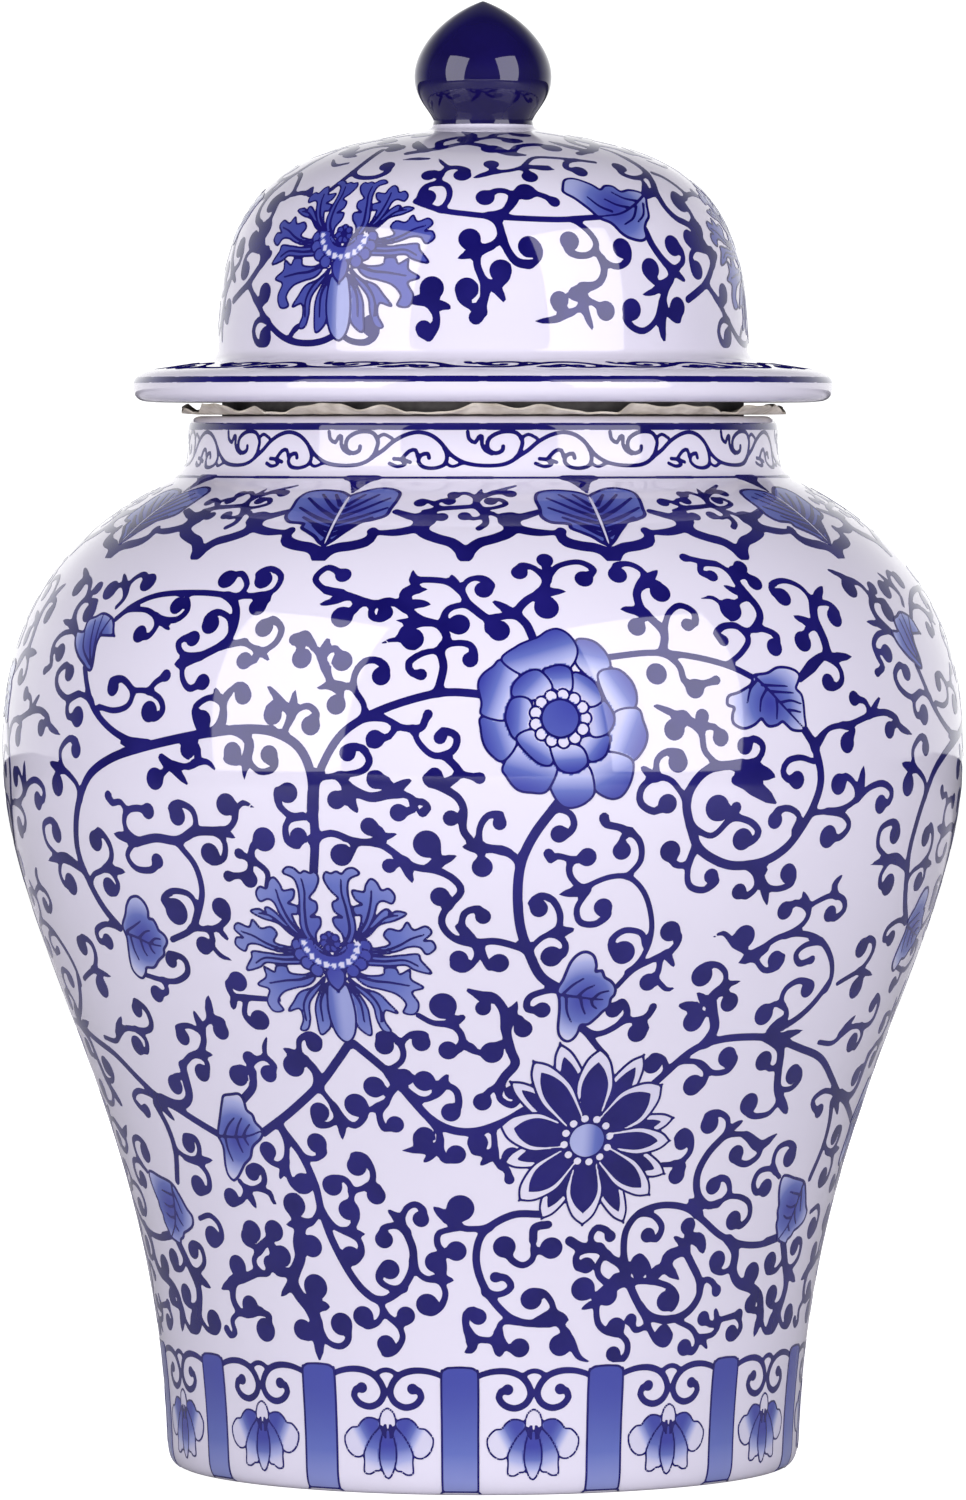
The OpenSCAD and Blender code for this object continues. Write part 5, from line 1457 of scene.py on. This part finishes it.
DOME_LEAVES = (
    (2.4, 0, 290.8, -3, 289.8, -5.6, 288.8), (2.2, 1.5, 282.8, 3.5, 280.8, 4.8, 278.2),
    (2.6, -12, 278.4, -14, 279, -16.4, 278.9), (2.4, -10.8, 278.2, -8.5, 277.8, -6.6, 277.2),
    (1.2, -9.5, 310.2, -12, 311.5, -13.8, 312.6), (1.8, 3, 309.2, 0, 308.6, -2.6, 307.8),
    (1.8, 14, 310.6, 17, 310.2, 20.5, 310), (1.4, -51, 304.8, -50, 305.8, -48.8, 303.6),
    (1.7, -45.5, 271, -44, 272.5, -41.5, 274), (1.9, 19, 276, 15.5, 274.6, 10.8, 274),
    (1.9, 22, 278, 22.8, 274.8, 24, 271.8), (2.6, 42, 277, 41.5, 273, 42.2, 269),
    (2.0, 45.5, 286.3, 48, 285, 50, 283.5), (1.9, 42.5, 282.5, 39.5, 281.2, 36.4, 280.4),
    (1.6, 53, 312, 52, 314.8, 49, 316), (1.5, -17, 312.6, -22, 312.6, -25.4, 312.4),
    (1.4, -45, 311.8, -50, 311.4, -56, 313), (2.2, 44.5, 304.4, 47, 306.2, 48, 308),
)
DOME_MIDDLE_TURN, DOME_LOW, DOME_TOP = -6, 266, 317
dome_corners = dome_skin.flat([(DOME_MIDDLE_TURN - SEAM, DOME_LOW), (DOME_MIDDLE_TURN + SEAM, DOME_TOP)])
lid_vines = Paint(dome_skin, *dome_corners, VINE_CELL, copies=COPIES, ring=True)
for width, *points in DOME_VINES:
    lid_vines.stroke(pairs(points), even(width))
for head, *points in DOME_BUDS:
    lid_vines.bud(1.15 * head, *pairs(points))
for width, *points in DOME_LEAVES:
    lid_vines.leaf(width, *pairs(points))
lid_vines.brushed("lid_vine_scroll", "lid")

CROWN_COPIES = 6
crown = border(dome_skin, 0, 312.5, 320.6, CROWN_COPIES, 0.9)
CROWN_BUDS = (
    (-26, 314, -16, 315.2, -8, 316.4, -1, 316, 3, 315), (-16, 315.2, -18, 317, -11, 318.1, -7, 317.4),
    (-8, 316.4, -2, 317.6, 6, 318, 13, 317.2), (3, 318, 8, 318.9, 16, 319.2, 22, 318.8),
    (10, 314.4, 14, 315.8, 22, 316.2, 26, 315.4),
)
CROWN_LEAVES = (
    (-20, 314.6, -26, 316, -30, 317.2), (4, 315.6, 8, 314, 15, 313.4), (-4, 317.4, -8, 319, -16, 319.8),
)
for bud in CROWN_BUDS:
    crown.bud(2.2, *pairs(bud), stem=1.9)
for tip in CROWN_LEAVES:
    crown.leaf(3, *pairs(tip))
crown.brushed("lid_crown_sprigs", "lid")

lid_flower = Motif(dome_skin, -34.6, 289, -26, 29, -21, 25.5, copies=COPIES, grow=0.98)
paint_feathery_flower(lid_flower, pale=0.1)
lid_flower.piece("lid_feathery_flower", "lid")

lid_leaf = Motif(dome_skin, 33, 301, -16, 15, -12, 13, copies=COPIES)
LID_LEAF = (-12.4, 305.4, -11, 307.4, -8, 307.7, -4, 306.4, -2, 305.2, 0, 306.1, 2.4, 306, 4, 304.8,
            7, 305.2, 10, 304.8, 11.8, 304, 11.8, 304, 10.4, 301.6, 9.5, 299, 8, 297.6, 7, 296, 6.8, 294,
            5, 293.2, 2, 293.8, 0, 295, -2, 297.2, -5, 298.5, -7, 300.5, -10, 303, -12.4, 304.4)
LID_LEAF_RIBS = (
    (11, 304, 6, 301.5, 1, 299.5, -5, 298.8), (8, 302.6, 4, 303.2, 1, 304.6),
    (4.5, 301, 1, 301.6, -2, 303), (9.4, 302, 8, 299.4, 5.6, 297.6), (6.8, 301.4, 4.6, 298.6, 1.6, 297),
    (-1, 300, -4, 301.2, -6.6, 303.4),
)
lid_leaf.shape(lid_leaf.local(LID_LEAF), (0, 0), reach=13, tones=(0.0, 0.8), line=0.7)
for rib in LID_LEAF_RIBS:
    lid_leaf.vein(lid_leaf.local(rib), 0.75)
lid_leaf.piece("lid_leaf", "lid")

# ---------------------------------------------------------------- liner, locating ring and bare clay

def paper_cloth():
    """Thin felted cloth: matt cream whose tone wanders at random between darker and lighter patches, with
    pressed fibres.
    """
    material = bpy.data.materials.new("felted_cloth")
    material.use_nodes = True
    nodes, links = material.node_tree.nodes, material.node_tree.links
    shader = nodes["Principled BSDF"]
    place = nodes.new("ShaderNodeTexCoord")
    blotch = nodes.new("ShaderNodeTexNoise")
    blotch.inputs["Scale"].default_value = 220
    fibre = nodes.new("ShaderNodeTexNoise")
    fibre.inputs["Scale"].default_value = 1800
    tones = nodes.new("ShaderNodeValToRGB")
    tones.color_ramp.elements[0].position = 0.3
    tones.color_ramp.elements[0].color = (0.54, 0.48, 0.38, 1)
    tones.color_ramp.elements[1].position = 0.7
    tones.color_ramp.elements[1].color = (0.84, 0.78, 0.66, 1)
    bump = nodes.new("ShaderNodeBump")
    bump.inputs["Distance"].default_value = 0.0002
    bump.inputs["Strength"].default_value = 0.6
    links.new(place.outputs["Object"], blotch.inputs["Vector"])
    links.new(place.outputs["Object"], fibre.inputs["Vector"])
    links.new(blotch.outputs["Fac"], tones.inputs["Fac"])
    links.new(tones.outputs["Color"], shader.inputs["Base Color"])
    links.new(fibre.outputs["Fac"], bump.inputs["Height"])
    links.new(bump.outputs["Normal"], shader.inputs["Normal"])
    shader.inputs["Roughness"].default_value = 0.9
    return material


LINER_INNER_R, LINER_OUTER_R, LINER_Z, CLOTH_T = 63.2, 72.2, 252.85, 0.45
LINER_STEPS, LINER_ROWS = 900, 18
FLARE_FROM = 0.6


def ruffle(turn, across):
    """How far the cloth wanders in radius and height; across is 0 inside, 1 at the outer edge."""
    folds = (0.5 * math.sin(11 * turn + 0.8) + 0.35 * math.sin(23 * turn + 2.1)
             + 0.22 * math.sin(37 * turn + 1.2))
    flare = max(0, (across - FLARE_FROM) / (1 - FLARE_FROM)) ** 1.3
    rise = flare * (0.1 + 2.0 * min(1, max(0, 0.45 + folds)) ** 0.8)
    pleat = 0.09 * math.sin(60 * turn + 3 * across) * across
    sway = 0.5 * math.sin(17 * turn + 1) + 0.3 * math.sin(31 * turn + 0.4) + 0.2 * math.sin(59 * turn)
    return sway * across, rise + pleat


def cloth_ring():
    """A thin closed sheet round the rim: its top face, then the same points a thickness lower."""
    verts, faces = [], []
    for drop in (0, CLOTH_T):
        for i in range(LINER_STEPS):
            turn = math.radians(TURN * i / LINER_STEPS)
            for j in range(LINER_ROWS + 1):
                across = j / LINER_ROWS
                sway, rise = ruffle(turn, across)
                r = LINER_INNER_R + (LINER_OUTER_R - LINER_INNER_R) * across + sway
                z = LINER_Z + rise - drop
                verts.append((r * MM * math.sin(turn), -r * MM * math.cos(turn), z * MM))
    row = LINER_ROWS + 1
    layer = LINER_STEPS * row
    for i in range(LINER_STEPS):
        here, after = i * row, (i + 1) % LINER_STEPS * row
        for j in range(LINER_ROWS):
            a, b, c, d = here + j, here + j + 1, after + j + 1, after + j
            faces.append((a, b, c, d))
            faces.append((d + layer, c + layer, b + layer, a + layer))
        faces.append((after, after + layer, here + layer, here))
        end, far_end = here + LINER_ROWS, after + LINER_ROWS
        faces.append((end, end + layer, far_end + layer, far_end))
    return verts, faces


liner = new_piece("crumpled_rim_cloth", *cloth_ring(), paper_cloth(), "liner", "liner_cloth", 60)
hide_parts("rim_liner")

RING_R, RING_EDGE, RING_DEPTH = 60.7, 2.0, 12
ring_end = [(RING_R - RING_EDGE * math.cos(a), BRIM_Z - RING_DEPTH + RING_EDGE * (1 - math.sin(a)))
            for a in np.radians(np.arange(0, 181, 15))]
ring_profile = np.vstack(([(RING_R - RING_EDGE, BRIM_Z)], ring_end, [(RING_R + RING_EDGE, BRIM_Z)]))


def bare_clay(name, colour, blotch):
    """Matt fired clay without glaze."""
    material = glaze(name, colour, blotch, 300)
    material.node_tree.nodes["Principled BSDF"].inputs["Roughness"].default_value = 0.85
    return material


# The lid's seat and its ring are left bare; their dark grey is partly the clay's own colour and partly
# painted shade for the gap under the brim
clay_with_painted_shade = bare_clay("seat_clay_painted_shade", (0.10, 0.095, 0.09), (0.17, 0.16, 0.15))
locating = new_piece("lid_locating_ring", *lathe(ring_profile), clay_with_painted_shade, "lid", "bare_clay", 35)
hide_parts("locating_ring")
# Bare clay shows through a hair below the glazed face, and ends inside it
BARE_LOW, BARE_TOP = -0.02, 0.4
seat_profile = [(62.8, BRIM_Z + BARE_LOW), (79, BRIM_Z + BARE_LOW), (79, BRIM_Z + BARE_TOP),
                (62.8, BRIM_Z + BARE_TOP)]
# A dark ring laid just under the brim: bare clay whose darkness is also painted shade for the gap between
# lid and rim
new_piece("lid_seat_painted_shade", *lathe(seat_profile), clay_with_painted_shade, "lid", "bare_clay", 35)
foot_clay = bare_clay("bare_clay", (0.62, 0.56, 0.48), (0.74, 0.68, 0.60))
foot_profile = [(64.3, BARE_LOW), (73.4, BARE_LOW), (74.2, BARE_TOP), (64.1, BARE_TOP)]
new_piece("bare_foot_ring", *lathe(foot_profile), foot_clay, "jar", "bare_clay", 35)

# ---------------------------------------------------------------- camera, light and floor

scene = bpy.context.scene
scene.view_settings.view_transform = "Standard"
camera = bpy.data.objects.new("camera", bpy.data.cameras.new("camera"))
scene.collection.objects.link(camera)
scene.camera = camera
# From a little above the jar's middle, far off, with a long lens
CAMERA_AWAY, CAMERA_UP, AIM_UP = 2.3, 0.25, 0.1717
camera.location = (0, -CAMERA_AWAY, CAMERA_UP)
camera.rotation_euler = (math.atan2(CAMERA_AWAY, CAMERA_UP - AIM_UP), 0, 0)
camera.data.lens = 229.5
camera.data.sensor_width = 36

LIGHT_TINT = (0.97, 0.94, 1.0)
JAR_MIDDLE = 0.19


def softbox(name, azimuth, elevation, away, size, radiance):
    """A rectangular area light that faces the jar's middle."""
    light = bpy.data.lights.new(name, "AREA")
    light.shape = "RECTANGLE"
    light.size, light.size_y = size
    light.energy = radiance * math.pi * size[0] * size[1]
    light.color = LIGHT_TINT
    holder = bpy.data.objects.new(name, light)
    scene.collection.objects.link(holder)
    turn, rise = math.radians(azimuth), math.radians(elevation)
    holder.location = (away * math.sin(turn) * math.cos(rise), -away * math.cos(turn) * math.cos(rise),
                       JAR_MIDDLE + away * math.sin(rise))
    holder.rotation_euler = (math.pi / 2 - rise, 0, turn)
    holder.visible_camera = False
    return holder


for side, azimuth in (("left", -48), ("right", 45)):
    softbox(side + "_softbox", azimuth, 20, 1.2, (0.74, 1.1), 3.2)
# Cards that fill the front and the back without showing in the glaze
for card in (softbox("front_card", 0, 0, 1.9, (2.6, 0.36), 6.9),
             softbox("back_card", 180, 20, 1.6, (2.0, 1.0), 3.2)):
    card.visible_glossy = False

floor_mesh = bpy.data.meshes.new("floor")
FAR_OFF = 4
floor_corners = [(x * FAR_OFF, y * FAR_OFF, 0) for x, y in ((-1, -1), (1, -1), (1, 1), (-1, 1))]
floor_mesh.from_pydata(floor_corners, [], [(0, 1, 2, 3)])
floor = bpy.data.objects.new("floor", floor_mesh)
scene.collection.objects.link(floor)
pale = bpy.data.materials.new("pale_floor")
pale.use_nodes = True
pale_nodes = pale.node_tree.nodes
pale_shader = pale_nodes["Principled BSDF"]
pale_shader.inputs["Base Color"].default_value = (0.5, 0.5, 0.51, 1)
pale_shader.inputs["Roughness"].default_value = 1
pale_shader.inputs["Specular IOR Level"].default_value = 0
pale_shader.inputs["Emission Color"].default_value = (1, 1, 1, 1)
# The floor looks white to the camera but throws only a little light up at the jar
seen = pale_nodes.new("ShaderNodeLightPath")
glow = pale_nodes.new("ShaderNodeMath")
glow.operation = "MULTIPLY"
glow.inputs[1].default_value = 0.97
pale.node_tree.links.new(seen.outputs["Is Camera Ray"], glow.inputs[0])
pale.node_tree.links.new(glow.outputs["Value"], pale_shader.inputs["Emission Strength"])
floor_mesh.materials.append(pale)

world = bpy.data.worlds.new("studio")
scene.world = world
world.use_nodes = True
wn, wl = world.node_tree.nodes, world.node_tree.links


def fade(value, start, end, at_start, at_end):
    """A number that goes from at_start to at_end while value goes from start to end."""
    node = wn.new("ShaderNodeMapRange")
    settings = (("From Min", start), ("From Max", end), ("To Min", at_start), ("To Max", at_end))
    for name, setting in settings:
        node.inputs[name].default_value = setting
    wl.new(value, node.inputs["Value"])
    return node.outputs["Result"]


def combine(operation, first, second):
    """The product or the greatest of two numbers."""
    node = wn.new("ShaderNodeMath")
    node.operation = operation
    wl.new(first, node.inputs[0])
    wl.new(second, node.inputs[1])
    return node.outputs["Value"]


# The camera sees plain white. The glaze sees a glow behind the jar, strongest near the horizon.
view_dir = wn.new("ShaderNodeTexCoord")
split = wn.new("ShaderNodeSeparateXYZ")
wl.new(view_dir.outputs["Generated"], split.inputs["Vector"])
behind = fade(split.outputs["Y"], 0.3, 0.95, 0.1, 1.25)
near_horizon = fade(split.outputs["Z"], 0.2, 0.6, 1.0, 0.3)
path = wn.new("ShaderNodeLightPath")
strength = combine("MAXIMUM", combine("MULTIPLY", behind, near_horizon), path.outputs["Is Camera Ray"])
wl.new(strength, wn["Background"].inputs["Strength"])
wn["Background"].inputs["Color"].default_value = (1, 1, 1, 1)
